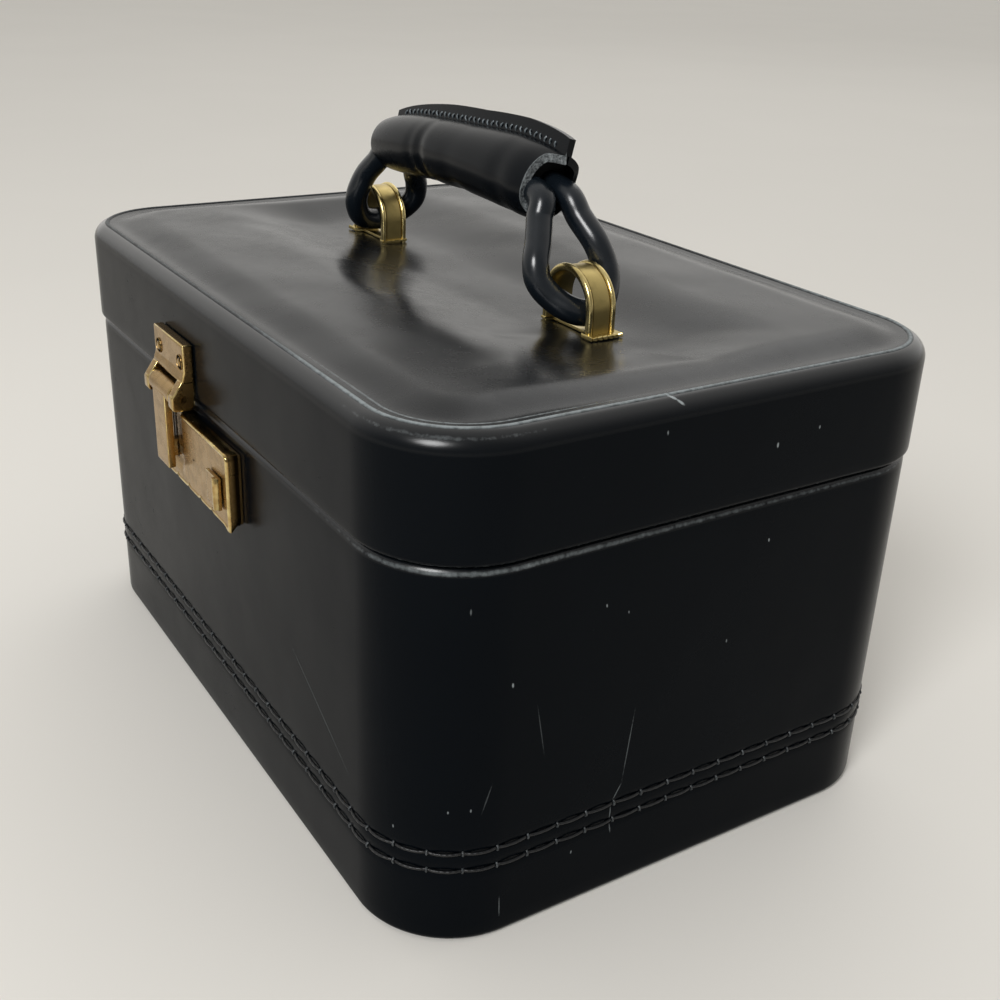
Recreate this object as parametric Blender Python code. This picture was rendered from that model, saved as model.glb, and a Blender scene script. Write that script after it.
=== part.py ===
"""Vanity case: a leather-covered travel case with a hinged lid, a cord handle and a slide latch.

The frame is the case's own: origin in the middle of the underside, +X to the right seen from
the latch, +Y to the back and +Z up. Lengths are metres, and the lid is shut.
"""
import math

import bmesh
import bpy
from mathutils import Matrix, Vector

# Body of the case
CASE_WIDTH = 0.330
CASE_DEPTH = 0.228
CORNER_RADIUS = 0.037
CORNER_STEPS = 6
EDGE_STEPS = 2
SHOULDER_STEPS = 4
RIM_HEIGHT = 0.145
BASE_SEAM = 0.0345
BASE_ROUND = 0.003
FIT = 0.0003

# Layers of the walls, from the outside in
LEATHER = 0.0012
BOARD = 0.003
LINING = 0.0008
EDGE_ROUND = 0.002
TURN_DEPTH = 0.008
COLLAR_WALL = 0.002
COLLAR_RISE = 0.006
FLOOR_PAD = 0.004
PAD_ROUND = 0.0015

# Rear pocket of the lining
POCKET_MARGIN = 0.004
POCKET_BOTTOM = 0.024
POCKET_DROP = 0.053
POCKET_REACH = 0.0075

# Lid
LID_OVERHANG = 0.0012
SHOULDER = 0.007
SHOULDER_TURN = math.radians(70)
SHOULDER_BOARD_TURN = math.radians(55)
WELT_HEIGHT = 0.0422
WELT_RADIUS = 0.0012
WELT_SIDES = 6
PANEL_BOARD_DROP = 0.0093

# Padded leather panel on the lid: it swells inside the welt and sinks under the handle
PANEL_EDGE_DROP = 0.0004
CROWN = 0.0034
CROWN_REACH = 0.020
SAG = 0.0062
SAG_HALF_WIDTH = 0.012
SAG_END_MARGIN = 0.057
SAG_FADE = 0.046
ROW_SHARES = (0.14, 0.30, 0.48, 0.66, 0.80, 0.90, 0.96, 1.02)
COLUMN_SHARES = (0.28, 0.56, 0.78, 0.91, 1.03)

# Mirror inside the lid
MIRROR_SIDE_MARGIN = 0.047
MIRROR_REAR_MARGIN = 0.039
MIRROR_CORNER = 0.012
MIRROR_GLASS = 0.0025
FRAME_LIP = 0.003
FRAME_WALL = 0.006
FRAME_DEPTH = 0.0038

# Hinges at the back
HINGE_MARGIN = 0.075
HINGE_WIDTH = 0.040
HINGE_OFFSET = 0.0046
HINGE_LEAF = 0.0012
HINGE_LEAF_REACH = 0.027
BARREL_RADIUS = 0.003
PIN_RADIUS = 0.0012
RIVET_X = 0.0135
RIVET_NEAR = 0.012
RIVET_FAR = 0.020
RIVET_SHANK = 0.0012
RIVET_HEAD = 0.0022
RIVET_RISE = 0.001
BACKING = 0.001
BACKING_MARGIN = 0.004

# Stays that stop the lid
STAY_RADIUS = 0.075
STAY_STUD_DROP = math.radians(10)
STAY_PIVOT_RISE = math.radians(8)
LID_OPEN = math.radians(95)
STAY_MARGIN = 0.015
STAY_BAR = 0.0015
STAY_HALF_WIDTH = 0.0042
STUD_NECK = 0.0019
STUD_HEAD = 0.0036
STUD_HEAD_DEPTH = 0.0012

# Handle: a ring of cord through two arched staples, with a padded grip
HANDLE_Y = 0.0017
HANDLE_END_MARGIN = 0.0855
CORD_RADIUS = 0.005
HANDLE_AXIS_RISE = 0.0221
EYE_RADIUS = 0.0155
GRIP_HALF_LENGTH = 0.0645
GRIP_HALF_WIDTH = 0.0140
GRIP_HALF_HEIGHT = 0.0128
GRIP_RISE = 0.0258
GRIP_DROOP = 0.0040
GRIP_LEAN = math.radians(-14)
GRIP_FIN_HEIGHT = 0.0062
GRIP_FIN_HALF = 0.0015
STAPLE_OUTER = 0.0143
STAPLE_STRIP = 0.002
STAPLE_RIM = 0.0021
STAPLE_RIM_RISE = 0.0008
STAPLE_HALF_WIDTH = 0.0060
STAPLE_ARCH_RISE = 0.0090
STAPLE_PLATE_LENGTH = 0.037
STAPLE_PLATE_WIDTH = 0.0138
STAPLE_PLATE = 0.001

# Shape of the grip along its length, as shares of its half length
GRIP_STATIONS = (-1, -0.94, -0.76, -0.5, -0.2, 0.2, 0.5, 0.76, 0.94, 1)
GRIP_END_TAPER = 0.14
FIN_END_TAPER = 0.12

# Route of the cord from the grip's middle to the right eye: shares of the staple's place, of the
# eye's radius across and of the grip's rise. Round the eye: share of the staple's place, degrees
# from the eye's foot and share of its radius
REAR_STRAND = ((0, 0.36, 1), (0.47, 0.36, 0.96), (0.745, 0.37, 0.86), (0.840, 0.46, 0.57),
               (0.932, 0.62, 0.28))
EYE_TURN = ((0.975, 85, 0.78), (1.005, 58, 0.88), (1.045, 30, 0.98), (1.070, 0, 1), (1.045, -24, 1),
            (0.985, -48, 1), (0.940, -72, 1.03), (0.910, -95, 0.98))
FRONT_STRAND = ((0.865, -0.78, 0.28), (0.800, -0.55, 0.57), (0.745, -0.37, 0.86), (0.47, -0.36, 0.96))
ROUTE_STEPS = 2

# Latch: plate and hasp on the lid, lock box and slide on the body
LATCH_X = -0.024
HASP_PLATE_HALF = 0.0168
HASP_PLATE_TOP = 0.0230
HASP_PLATE_PROUD = 0.0044
HASP_PLATE_FOOT = 0.0040
HASP_AXIS_RISE = 0.0013
HASP_AXIS_PROUD = 0.0053
HASP_BARREL = 0.0045
HASP_KNUCKLE_HALF = 0.0117
HASP_PIN = 0.0013
HASP_HALF_WIDTH = 0.007
HASP_SHEET = 0.0012
HASP_FOLD = 0.003
HASP_LENGTH = 0.0315
HASP_RIVET_X = 0.012
HASP_RIVET_SHIFT = 0.001
HASP_RIVET_RISE = 0.0155
HASP_RIVET_HEAD = 0.0031
HASP_RIVET_DOME = 0.0013
PLATE_FLARE_RISE = 0.0108
PLATE_FLARE_LOW = 0.0072
PLATE_FLARE_OUT = 0.0011
KNUCKLE_CLEAR_RISE = 0.0061
TONGUE_LAP = 0.0018
CATCH_HALF = 0.002
CATCH_DROP = 0.0250
CATCH_HALF_HEIGHT = 0.0035
CATCH_BAR = 0.0009
LOCK_WIDTH = 0.072
LOCK_DROP = 0.036
LOCK_HEIGHT = 0.030
LOCK_CENTRE_X = -0.0005
LOCK_PROUD = 0.0063
LOCK_CORNER = 0.003
LOCK_WALL = 0.001
LOCK_EDGE = 0.0008
BOLT_HALF_HEIGHT = 0.0025
BOLT_THICKNESS = 0.0028
BOLT_LEFT = -0.0205
BOLT_RIGHT = 0.0270
NOSE_LENGTH = 0.008
NOSE_HALF_HEIGHT = 0.0016
NOSE_HALF_THICKNESS = 0.0007
SLIDE_TRAVEL = 0.004
SLIDE_LEFT = 0.018
SLIDE_WIDTH = 0.012
SLIDE_HALF_HEIGHT = 0.0065
SLIDE_PAD = 0.0014
SLIDE_RIB = 0.0013
SLIDE_RIB_HEIGHT = 0.0014
STEM_HALF_WIDTH = 0.002
STEM_HALF_HEIGHT = 0.0012
SPRING_RADIUS = 0.0011
SPRING_WIRE = 0.00022
SPRING_TURNS = 4
LOCK_SHANK_X = 0.026
LOCK_SHANK_Z = 0.009
OVERRUN = 0.002
ROUND_STEPS = 10
SMALL_STEPS = 8
GRIP_STEPS = 15
ARCH_STEPS = 12

# Places that several pieces share
BOARD_OUT = LEATHER + FIT
BOARD_IN = BOARD_OUT + BOARD
SKIN_OUT = BOARD_IN + FIT
LINING_IN = SKIN_OUT + LINING
TURN_IN = SKIN_OUT + LEATHER
FLOOR_BOTTOM = LEATHER + FIT
FLOOR_TOP = FLOOR_BOTTOM + BOARD
LINING_FLOOR = FLOOR_TOP + FIT + LINING
SEAM = RIM_HEIGHT + FIT
SHOULDER_BASE = SEAM + WELT_HEIGHT - SHOULDER * math.sin(SHOULDER_TURN)
WELT_INSET = SHOULDER * (1 - math.cos(SHOULDER_TURN)) + WELT_RADIUS + FIT
PANEL_INSET = WELT_INSET + WELT_RADIUS + FIT
PANEL_EDGE = SEAM + WELT_HEIGHT - PANEL_EDGE_DROP
PANEL_BOARD_BOTTOM = SEAM + WELT_HEIGHT - PANEL_BOARD_DROP
PANEL_BOARD_TOP = PANEL_BOARD_BOTTOM + BOARD
PANEL_MIDDLE = PANEL_EDGE + CROWN - SAG
LID_LINING_TOP = PANEL_BOARD_BOTTOM - BACKING - 2 * FIT
LID_LINING_UNDER = LID_LINING_TOP - LINING
LID_SIZE = (CASE_WIDTH + 2 * LID_OVERHANG, CASE_DEPTH + 2 * LID_OVERHANG, CORNER_RADIUS + LID_OVERHANG)
BODY_SIZE = (CASE_WIDTH, CASE_DEPTH, CORNER_RADIUS)
HALF_WIDTH = CASE_WIDTH / 2
HALF_DEPTH = CASE_DEPTH / 2
LID_FRONT = -HALF_DEPTH - LID_OVERHANG
SAG_HALF_LENGTH = HALF_WIDTH - SAG_END_MARGIN
POCKET_HALF = HALF_WIDTH - CORNER_RADIUS - POCKET_MARGIN
POCKET_TOP = RIM_HEIGHT - POCKET_DROP
LOCK_BOTTOM = RIM_HEIGHT - LOCK_DROP
HINGE_X = HALF_WIDTH - HINGE_MARGIN
STAY_X = HALF_WIDTH - STAY_MARGIN
STAPLE_X = HALF_WIDTH - HANDLE_END_MARGIN
HINGE_AXIS = Vector((0, HALF_DEPTH + HINGE_OFFSET, RIM_HEIGHT + FIT / 2))
HANDLE_AXIS = Vector((0, HANDLE_Y, PANEL_MIDDLE + HANDLE_AXIS_RISE + FIT))
HASP_AXIS = Vector((LATCH_X, LID_FRONT - HASP_AXIS_PROUD, SEAM + HASP_AXIS_RISE))
SLIDE_AXIS = Vector((SLIDE_LEFT + SLIDE_WIDTH / 2, -HALF_DEPTH - LOCK_PROUD, HASP_AXIS.z - CATCH_DROP))
STUD_Y = HINGE_AXIS.y - STAY_RADIUS * math.cos(STAY_STUD_DROP)
STUD_Z = HINGE_AXIS.z - STAY_RADIUS * math.sin(STAY_STUD_DROP)
PIVOT_Y = HINGE_AXIS.y - STAY_RADIUS * math.cos(STAY_PIVOT_RISE)
PIVOT_Z = HINGE_AXIS.z + STAY_RADIUS * math.sin(STAY_PIVOT_RISE)


def clear_scene():
    """Remove what the scene holds at the start."""
    for item in list(bpy.data.objects):
        bpy.data.objects.remove(item)


def finish(name, colour, roughness, metallic=0.0):
    """A material with the colour, roughness and metal value of one part's surface."""
    material = bpy.data.materials.new(name)
    material.use_nodes = True
    shader = material.node_tree.nodes["Principled BSDF"]
    shader.inputs["Base Color"].default_value = (*colour, 1)
    shader.inputs["Roughness"].default_value = roughness
    shader.inputs["Metallic"].default_value = metallic
    material.diffuse_color = (*colour, 1)
    return material


def carrier(name, place, parent=None):
    """An empty on a joint's axis, which carries a moving body."""
    empty = bpy.data.objects.new(name, None)
    bpy.context.collection.objects.link(empty)
    empty.location = place
    if parent:
        empty.parent = parent
        empty.matrix_parent_inverse = Matrix.Translation(-parent_place(parent))
    return empty


def parent_place(item):
    """Where an empty stands in the world, as it was given to carrier."""
    return Vector(item.location)


def place_piece(name, data, look, body, place=(0, 0, 0)):
    """Put a mesh or curve into the scene as one named piece of a body."""
    piece = bpy.data.objects.new(name, data)
    bpy.context.collection.objects.link(piece)
    piece.location = place
    piece.parent = body
    piece.matrix_parent_inverse = Matrix.Translation(-parent_place(body))
    if not data.materials:
        data.materials.append(look)
    return piece


def to_mesh(name, work, smooth=True):
    """Turn bmesh work into a mesh with its faces pointing out."""
    bmesh.ops.recalc_face_normals(work, faces=work.faces)
    mesh = bpy.data.meshes.new(name)
    work.to_mesh(mesh)
    work.free()
    if smooth:
        mesh.shade_smooth()
        mesh.set_sharp_from_angle(angle=math.radians(35))
    return mesh


def tool(name, work):
    """A hidden body that only cuts or joins others."""
    piece = bpy.data.objects.new(name, to_mesh(name, work, smooth=False))
    bpy.context.collection.objects.link(piece)
    piece.hide_render = True
    piece.display_type = "WIRE"
    return piece


def combine(piece, other, operation):
    """Cut a piece by another, join it to it or keep what they share."""
    step = piece.modifiers.new(operation.lower(), "BOOLEAN")
    step.operation = operation
    step.solver = "EXACT"
    step.object = other


def add_box(work, low, high):
    """Add a box between two corners."""
    low = Vector(low)
    high = Vector(high)
    grow = Matrix.Diagonal((*(high - low), 1))
    bmesh.ops.create_cube(work, size=1, matrix=Matrix.Translation((low + high) / 2) @ grow)


def box(low, high):
    """A box between two corners, as new work."""
    work = bmesh.new()
    add_box(work, low, high)
    return work


def add_rod(work, start, end, radius, steps=ROUND_STEPS):
    """Add a round rod between two points."""
    start = Vector(start)
    end = Vector(end)
    turn = (end - start).to_track_quat("Z", "Y").to_matrix().to_4x4()
    bmesh.ops.create_cone(work, cap_ends=True, segments=steps, radius1=radius, radius2=radius,
                          depth=(end - start).length, matrix=Matrix.Translation((start + end) / 2) @ turn)


def rod(start, end, radius, steps=ROUND_STEPS):
    """A round rod between two points, as new work."""
    work = bmesh.new()
    add_rod(work, start, end, radius, steps)
    return work


def arc(centre, radius, start, end, steps):
    """Points of an arc, from one angle to another, ends included."""
    turns = [start + (end - start) * step / steps for step in range(steps + 1)]
    return [(centre[0] + radius * math.cos(turn), centre[1] + radius * math.sin(turn)) for turn in turns]


def rounded_outline(size, inset):
    """Anticlockwise points of a rounded rectangle, drawn in by an inset."""
    width, depth, corner = size
    radius = corner - inset
    points = []
    for quarter, (side_x, side_y) in enumerate(((1, 1), (-1, 1), (-1, -1), (1, -1))):
        centre = (side_x * (width / 2 - corner), side_y * (depth / 2 - corner))
        start = quarter * math.pi / 2
        points += arc(centre, radius, start, start + math.pi / 2, CORNER_STEPS)
    return points


def skin_loops(loops, closed):
    """Join loops of points by faces. An open row of loops is capped at both ends."""
    work = bmesh.new()
    rows = [[work.verts.new(point) for point in loop] for loop in loops]
    pairs = list(zip(rows, rows[1:]))
    if closed:
        pairs.append((rows[-1], rows[0]))
    else:
        work.faces.new(rows[0])
        work.faces.new(rows[-1])
    for lower, upper in pairs:
        for place, corner in enumerate(lower):
            after = (place + 1) % len(lower)
            work.faces.new((corner, lower[after], upper[after], upper[place]))
    return work


def wrap(size, profile, closed):
    """Carry a profile of (inset, height) points round a rounded rectangle."""
    return skin_loops([[(x, y, z) for x, y in rounded_outline(size, inset)] for inset, z in profile], closed)


def slab(size, inset, low, high):
    """A flat plate in the outline of a rounded rectangle."""
    return wrap(size, [(inset, low), (inset, high)], closed=False)


def extrude_x(outline, start, end):
    """Extrude an outline of (y, z) points along X."""
    return skin_loops([[(x, y, z) for y, z in outline] for x in (start, end)], closed=False)


def add_turned(work, profile, place, along, steps=ROUND_STEPS):
    """Add a turned body. Its profile holds (radius, distance) points from its first end to its last."""
    turn = Vector(along).to_track_quat("Z", "Y").to_matrix()
    rows = []
    for radius, distance in profile:
        row = []
        for step in range(steps):
            angle = 2 * math.pi * step / steps
            spoke = Vector((radius * math.cos(angle), radius * math.sin(angle), distance))
            row.append(work.verts.new(Vector(place) + turn @ spoke))
        rows.append(row)
    work.faces.new(rows[0])
    work.faces.new(rows[-1])
    for lower, upper in zip(rows, rows[1:]):
        for step, corner in enumerate(lower):
            after = (step + 1) % steps
            work.faces.new((corner, lower[after], upper[after], upper[step]))


def dome_head(shank, head, rise, length, foot=0.0):
    """Profile of a rivet: a shank, then a domed head that starts at the given length."""
    profile = [(shank, -foot), (shank, length), (head, length)]
    profile += [(head * math.cos(turn), length + rise * math.sin(turn))
                for turn in (math.radians(30), math.radians(60), math.radians(80))]
    return profile


def ramp(value):
    """Rise smoothly from 0 to 1."""
    value = min(max(value, 0), 1)
    return value * value * (3 - 2 * value)


def panel_edge_distance(x, y):
    """How far a point of the lid's top lies inside the edge of the leather panel."""
    width, depth, corner = LID_SIZE
    beyond_x = abs(x) - (width / 2 - corner)
    beyond_y = abs(y) - (depth / 2 - corner)
    outside = math.hypot(max(beyond_x, 0), max(beyond_y, 0))
    inside = min(max(beyond_x, beyond_y), 0)
    return corner - PANEL_INSET - outside - inside


def panel_height(x, y):
    """Top of the leather panel at a point."""
    swell = CROWN * ramp(panel_edge_distance(x, y) / CROWN_REACH)
    across = 1 - ramp((abs(y) - SAG_HALF_WIDTH) / SAG_FADE)
    along = 1 - ramp((abs(x) - SAG_HALF_LENGTH) / SAG_FADE)
    return PANEL_EDGE + swell - SAG * across * along


def panel_lines(flat, half, shares):
    """Places of the panel's grid lines: a flat middle, then hand-set shares of the way to the edge."""
    ahead = [flat] + [flat + share * (half - flat) for share in shares]
    return [-place for place in reversed(ahead)] + ahead


def panel_block(top_drop, thickness, floor):
    """A sheet of one thickness in the panel's shape, or with no thickness a block down to a flat floor."""
    width, depth, _ = LID_SIZE
    columns = panel_lines(SAG_HALF_LENGTH, width / 2 - PANEL_INSET, COLUMN_SHARES)
    rows = panel_lines(SAG_HALF_WIDTH, depth / 2 - PANEL_INSET, ROW_SHARES)
    work = bmesh.new()
    levels = [top_drop, top_drop + thickness] if thickness else [top_drop]
    for drop in levels:
        sheet = [[work.verts.new((x, y, panel_height(x, y) - drop)) for x in columns] for y in rows]
        for lower, upper in zip(sheet, sheet[1:]):
            for column in range(len(columns) - 1):
                work.faces.new((lower[column], lower[column + 1], upper[column + 1], upper[column]))
    bmesh.ops.triangulate(work, faces=work.faces)
    rim = [edge for edge in work.edges if edge.is_boundary]
    if thickness:
        bmesh.ops.bridge_loops(work, edges=rim)
        return work
    skirt = bmesh.ops.extrude_edge_only(work, edges=rim)["geom"]
    for corner in skirt:
        if isinstance(corner, bmesh.types.BMVert):
            corner.co.z = floor
    bmesh.ops.contextual_create(work, geom=[edge for edge in work.edges if edge.is_boundary])
    return work


def smooth_route(points, steps):
    """Points read from a smooth closed curve through the route's own points."""
    count = len(points)
    route = []
    for place in range(count):
        before, start, end, after = (Vector(points[(place + shift) % count]) for shift in (-1, 0, 1, 2))
        for step in range(steps):
            t = step / steps
            route.append((2 * start + (end - before) * t + (2 * before - 5 * start + 4 * end - after) * t ** 2
                          + (3 * start - before - 3 * end + after) * t ** 3) / 2)
    return route


def tube(name, points, radius, cyclic, resolution):
    """A round tube along points, as a bevelled curve."""
    curve = bpy.data.curves.new(name, "CURVE")
    curve.dimensions = "3D"
    curve.bevel_depth = radius
    curve.bevel_resolution = resolution
    curve.use_fill_caps = not cyclic
    spline = curve.splines.new("POLY")
    spline.points.add(len(points) - 1)
    for target, point in zip(spline.points, points):
        target.co = (*point, 1)
    spline.use_cyclic_u = cyclic
    return curve


# Looks of the solids
def make_finishes():
    """One material for each kind of surface."""
    return {
        "leather": finish("black_coated_leather", (0.012, 0.013, 0.015), 0.32),
        "welt": finish("worn_leather_welt", (0.10, 0.095, 0.085), 0.5),
        "board": finish("fibreboard", (0.25, 0.16, 0.09), 0.8),
        "lining": finish("rayon_lining", (0.16, 0.12, 0.10), 0.55),
        "pad": finish("wadding", (0.55, 0.50, 0.42), 0.9),
        "brass": finish("gilt_brass", (0.42, 0.30, 0.14), 0.3, 1.0),
        "steel": finish("spring_steel", (0.45, 0.45, 0.46), 0.35, 1.0),
        "mirror": finish("silvered_glass", (0.85, 0.87, 0.88), 0.03, 1.0),
        "cord": finish("waxed_black_cord", (0.010, 0.011, 0.014), 0.25),
    }


def build_body_shell(looks, case):
    """Walls, floor, leather, collar and lining of the body."""
    board_top = RIM_HEIGHT - LEATHER - FIT
    board_round = BASE_ROUND - BOARD_OUT
    turn_centre = (BOARD_OUT + board_round, FLOOR_BOTTOM + board_round)
    ring = arc(turn_centre, board_round, 1.5 * math.pi, math.pi, EDGE_STEPS)
    ring += [(BOARD_OUT, board_top), (BOARD_IN, board_top), (BOARD_IN, FLOOR_BOTTOM)]
    ring_mesh = to_mesh("frame", wrap(BODY_SIZE, ring, True))
    frame = place_piece("body_frame_board", ring_mesh, looks["board"], case)
    floor = slab(BODY_SIZE, BOARD_IN + FIT, FLOOR_BOTTOM, FLOOR_TOP)
    place_piece("body_floor_board", to_mesh("floor", floor), looks["board"], case)

    wrap_bottom = BASE_SEAM + FIT / 2
    rim_corner = RIM_HEIGHT - EDGE_ROUND
    skin = [(0, wrap_bottom)] + arc((EDGE_ROUND, rim_corner), EDGE_ROUND, math.pi, math.pi / 2, EDGE_STEPS)
    skin += arc((TURN_IN - EDGE_ROUND, rim_corner), EDGE_ROUND, math.pi / 2, 0, EDGE_STEPS)
    skin += [(TURN_IN, RIM_HEIGHT - TURN_DEPTH), (SKIN_OUT, RIM_HEIGHT - TURN_DEPTH),
             (SKIN_OUT, RIM_HEIGHT - LEATHER), (LEATHER, RIM_HEIGHT - LEATHER), (LEATHER, wrap_bottom)]
    leather_mesh = to_mesh("wrap", wrap(BODY_SIZE, skin, True))
    leather = place_piece("body_leather", leather_mesh, looks["leather"], case)

    base_top = BASE_SEAM - FIT / 2
    inner_round = BASE_ROUND - LEATHER
    cup = arc((BASE_ROUND, BASE_ROUND), BASE_ROUND, 1.5 * math.pi, math.pi, EDGE_STEPS)
    cup += [(0, base_top), (LEATHER, base_top)]
    cup += arc((BASE_ROUND, BASE_ROUND), inner_round, math.pi, 1.5 * math.pi, EDGE_STEPS)
    place_piece("base_leather", to_mesh("base", wrap(BODY_SIZE, cup, False)), looks["leather"], case)

    collar_out = TURN_IN + FIT
    collar_in = collar_out + COLLAR_WALL
    collar_top = RIM_HEIGHT + COLLAR_RISE
    half_wall = COLLAR_WALL / 2
    collar = [(collar_out, RIM_HEIGHT - TURN_DEPTH)]
    collar += arc((collar_out + half_wall, collar_top - half_wall), half_wall, math.pi, 0, EDGE_STEPS)
    collar += [(collar_in, RIM_HEIGHT - TURN_DEPTH)]
    place_piece("rim_collar", to_mesh("collar", wrap(BODY_SIZE, collar, True)), looks["lining"], case)

    lining_top = RIM_HEIGHT - TURN_DEPTH - FIT
    lining = [(SKIN_OUT, FLOOR_TOP + FIT), (SKIN_OUT, lining_top), (LINING_IN, lining_top),
              (LINING_IN, LINING_FLOOR)]
    lining_piece = place_piece("body_lining", to_mesh("lining", wrap(BODY_SIZE, lining, False)),
                               looks["lining"], case)

    pad_low = LINING_FLOOR + FIT
    pad_inset = LINING_IN + PAD_ROUND
    pad = [(pad_inset, pad_low), (pad_inset, pad_low + FLOOR_PAD - PAD_ROUND),
           (pad_inset + PAD_ROUND, pad_low + FLOOR_PAD)]
    place_piece("floor_pad", to_mesh("pad", wrap(BODY_SIZE, pad, False)), looks["lining"], case)

    back = HALF_DEPTH - LINING_IN - FIT
    pocket = box((-POCKET_HALF, back - POCKET_REACH, POCKET_BOTTOM), (POCKET_HALF, back, POCKET_TOP))
    inside = box((-POCKET_HALF + LINING, back - POCKET_REACH + LINING, POCKET_BOTTOM + LINING),
                 (POCKET_HALF - LINING, back + OVERRUN, POCKET_TOP + OVERRUN))
    pocket_piece = place_piece("rear_pocket", to_mesh("pocket", pocket), looks["lining"], case)
    combine(pocket_piece, tool("pocket_space", inside), "DIFFERENCE")
    return leather, frame, lining_piece


def build_lid_shell(looks, lid):
    """Walls, top, leather, welt and lining of the lid."""
    board_low = SEAM + LEATHER + FIT
    board_turn = math.pi - SHOULDER_BOARD_TURN
    board_arc = arc((SHOULDER, SHOULDER_BASE), SHOULDER - BOARD_OUT, math.pi, board_turn, SHOULDER_STEPS - 1)
    ring = [(BOARD_OUT, board_low)] + board_arc + [(BOARD_IN, board_arc[-1][1]), (BOARD_IN, board_low)]
    ring_mesh = to_mesh("lid_frame", wrap(LID_SIZE, ring, True))
    frame = place_piece("lid_frame_board", ring_mesh, looks["board"], lid)
    top = slab(LID_SIZE, BOARD_IN + FIT, PANEL_BOARD_BOTTOM, PANEL_BOARD_TOP)
    top_piece = place_piece("lid_top_board", to_mesh("lid_top", top), looks["board"], lid)

    low_corner = SEAM + EDGE_ROUND
    skin = [(TURN_IN, SEAM + TURN_DEPTH)]
    skin += arc((TURN_IN - EDGE_ROUND, low_corner), EDGE_ROUND, 0, -math.pi / 2, EDGE_STEPS)
    skin += arc((EDGE_ROUND, low_corner), EDGE_ROUND, -math.pi / 2, -math.pi, EDGE_STEPS)
    bend = (SHOULDER, SHOULDER_BASE)
    skin += arc(bend, SHOULDER, math.pi, math.pi - SHOULDER_TURN, SHOULDER_STEPS)
    skin += arc(bend, SHOULDER - LEATHER, math.pi - SHOULDER_TURN, math.pi, SHOULDER_STEPS)
    skin += [(LEATHER, SEAM + LEATHER), (SKIN_OUT, SEAM + LEATHER), (SKIN_OUT, SEAM + TURN_DEPTH)]
    side = place_piece("lid_side_leather", to_mesh("lid_side", wrap(LID_SIZE, skin, True)),
                       looks["leather"], lid)

    step = 2 * math.pi / WELT_SIDES
    welt = [(WELT_INSET + WELT_RADIUS * math.cos(step * turn),
             SEAM + WELT_HEIGHT + WELT_RADIUS * math.sin(step * turn)) for turn in range(WELT_SIDES)]
    place_piece("lid_welt", to_mesh("welt", wrap(LID_SIZE, welt, True)), looks["welt"], lid)

    under = PANEL_BOARD_TOP + FIT
    panel = panel_block(0, LEATHER, 0)
    panel_piece = place_piece("lid_top_leather", to_mesh("panel", panel), looks["leather"], lid)
    padding = panel_block(LEATHER + FIT, 0, under)
    padding_piece = place_piece("lid_padding", to_mesh("padding", padding), looks["pad"], lid)
    trim = tool("panel_outline", slab(LID_SIZE, PANEL_INSET, PANEL_BOARD_BOTTOM, PANEL_EDGE + 2 * CROWN))
    combine(panel_piece, trim, "INTERSECT")
    combine(padding_piece, trim, "INTERSECT")

    lining_low = SEAM + TURN_DEPTH + FIT
    lining = [(SKIN_OUT, LID_LINING_TOP), (SKIN_OUT, lining_low), (LINING_IN, lining_low),
              (LINING_IN, LID_LINING_UNDER)]
    lining_piece = place_piece("lid_lining", to_mesh("lid_lining", wrap(LID_SIZE, lining, False)),
                               looks["lining"], lid)
    return side, frame, lining_piece, (top_piece, panel_piece, padding_piece)


def build_mirror(looks, lid):
    """Mirror under the lid's lining, held by a lipped frame."""
    size = (CASE_WIDTH - 2 * MIRROR_SIDE_MARGIN, CASE_DEPTH - 2 * MIRROR_REAR_MARGIN, MIRROR_CORNER)
    back = LID_LINING_UNDER - FIT
    face = back - MIRROR_GLASS
    glass = slab(size, 0, face, back)
    place_piece("mirror", to_mesh("mirror", glass), looks["mirror"], lid)
    front = back - FRAME_DEPTH
    bevel = FRAME_LIP / 2
    frame = [(-FIT, back), (-FIT, face - FIT), (FRAME_LIP, face - FIT), (bevel, front),
             (-FRAME_WALL + bevel, front), (-FRAME_WALL, front + bevel), (-FRAME_WALL, back)]
    place_piece("mirror_frame", to_mesh("mirror_frame", wrap(size, frame, True)), looks["brass"], lid)


def hinge_rivet_places():
    """Places of a leaf's three rivets, as (x, distance from the axis)."""
    return ((-RIVET_X, RIVET_NEAR), (0, RIVET_FAR), (RIVET_X, RIVET_NEAR))


def leaf_mesh(name, back, up):
    """One hinge leaf about the hinge's own axis. Its barrel still runs the whole width."""
    front = back + HINGE_LEAF
    neck = BARREL_RADIUS - HINGE_LEAF
    meet = math.acos(neck / BARREL_RADIUS)
    if up:
        barrel = arc((0, 0), BARREL_RADIUS, math.pi / 2 + meet, math.pi * 2.5, SMALL_STEPS)
        outline = [(front, HINGE_LEAF_REACH), (back, HINGE_LEAF_REACH), (back, neck)] + barrel
        outline += [(front, BARREL_RADIUS)]
    else:
        barrel = arc((0, 0), BARREL_RADIUS, -math.pi / 2, 1.5 * math.pi - meet, SMALL_STEPS)
        outline = [(back, -HINGE_LEAF_REACH), (front, -HINGE_LEAF_REACH), (front, -BARREL_RADIUS)] + barrel
        outline += [(back, -neck)]
    return to_mesh(name, extrude_x(outline, -HINGE_WIDTH / 2, HINGE_WIDTH / 2))


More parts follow.
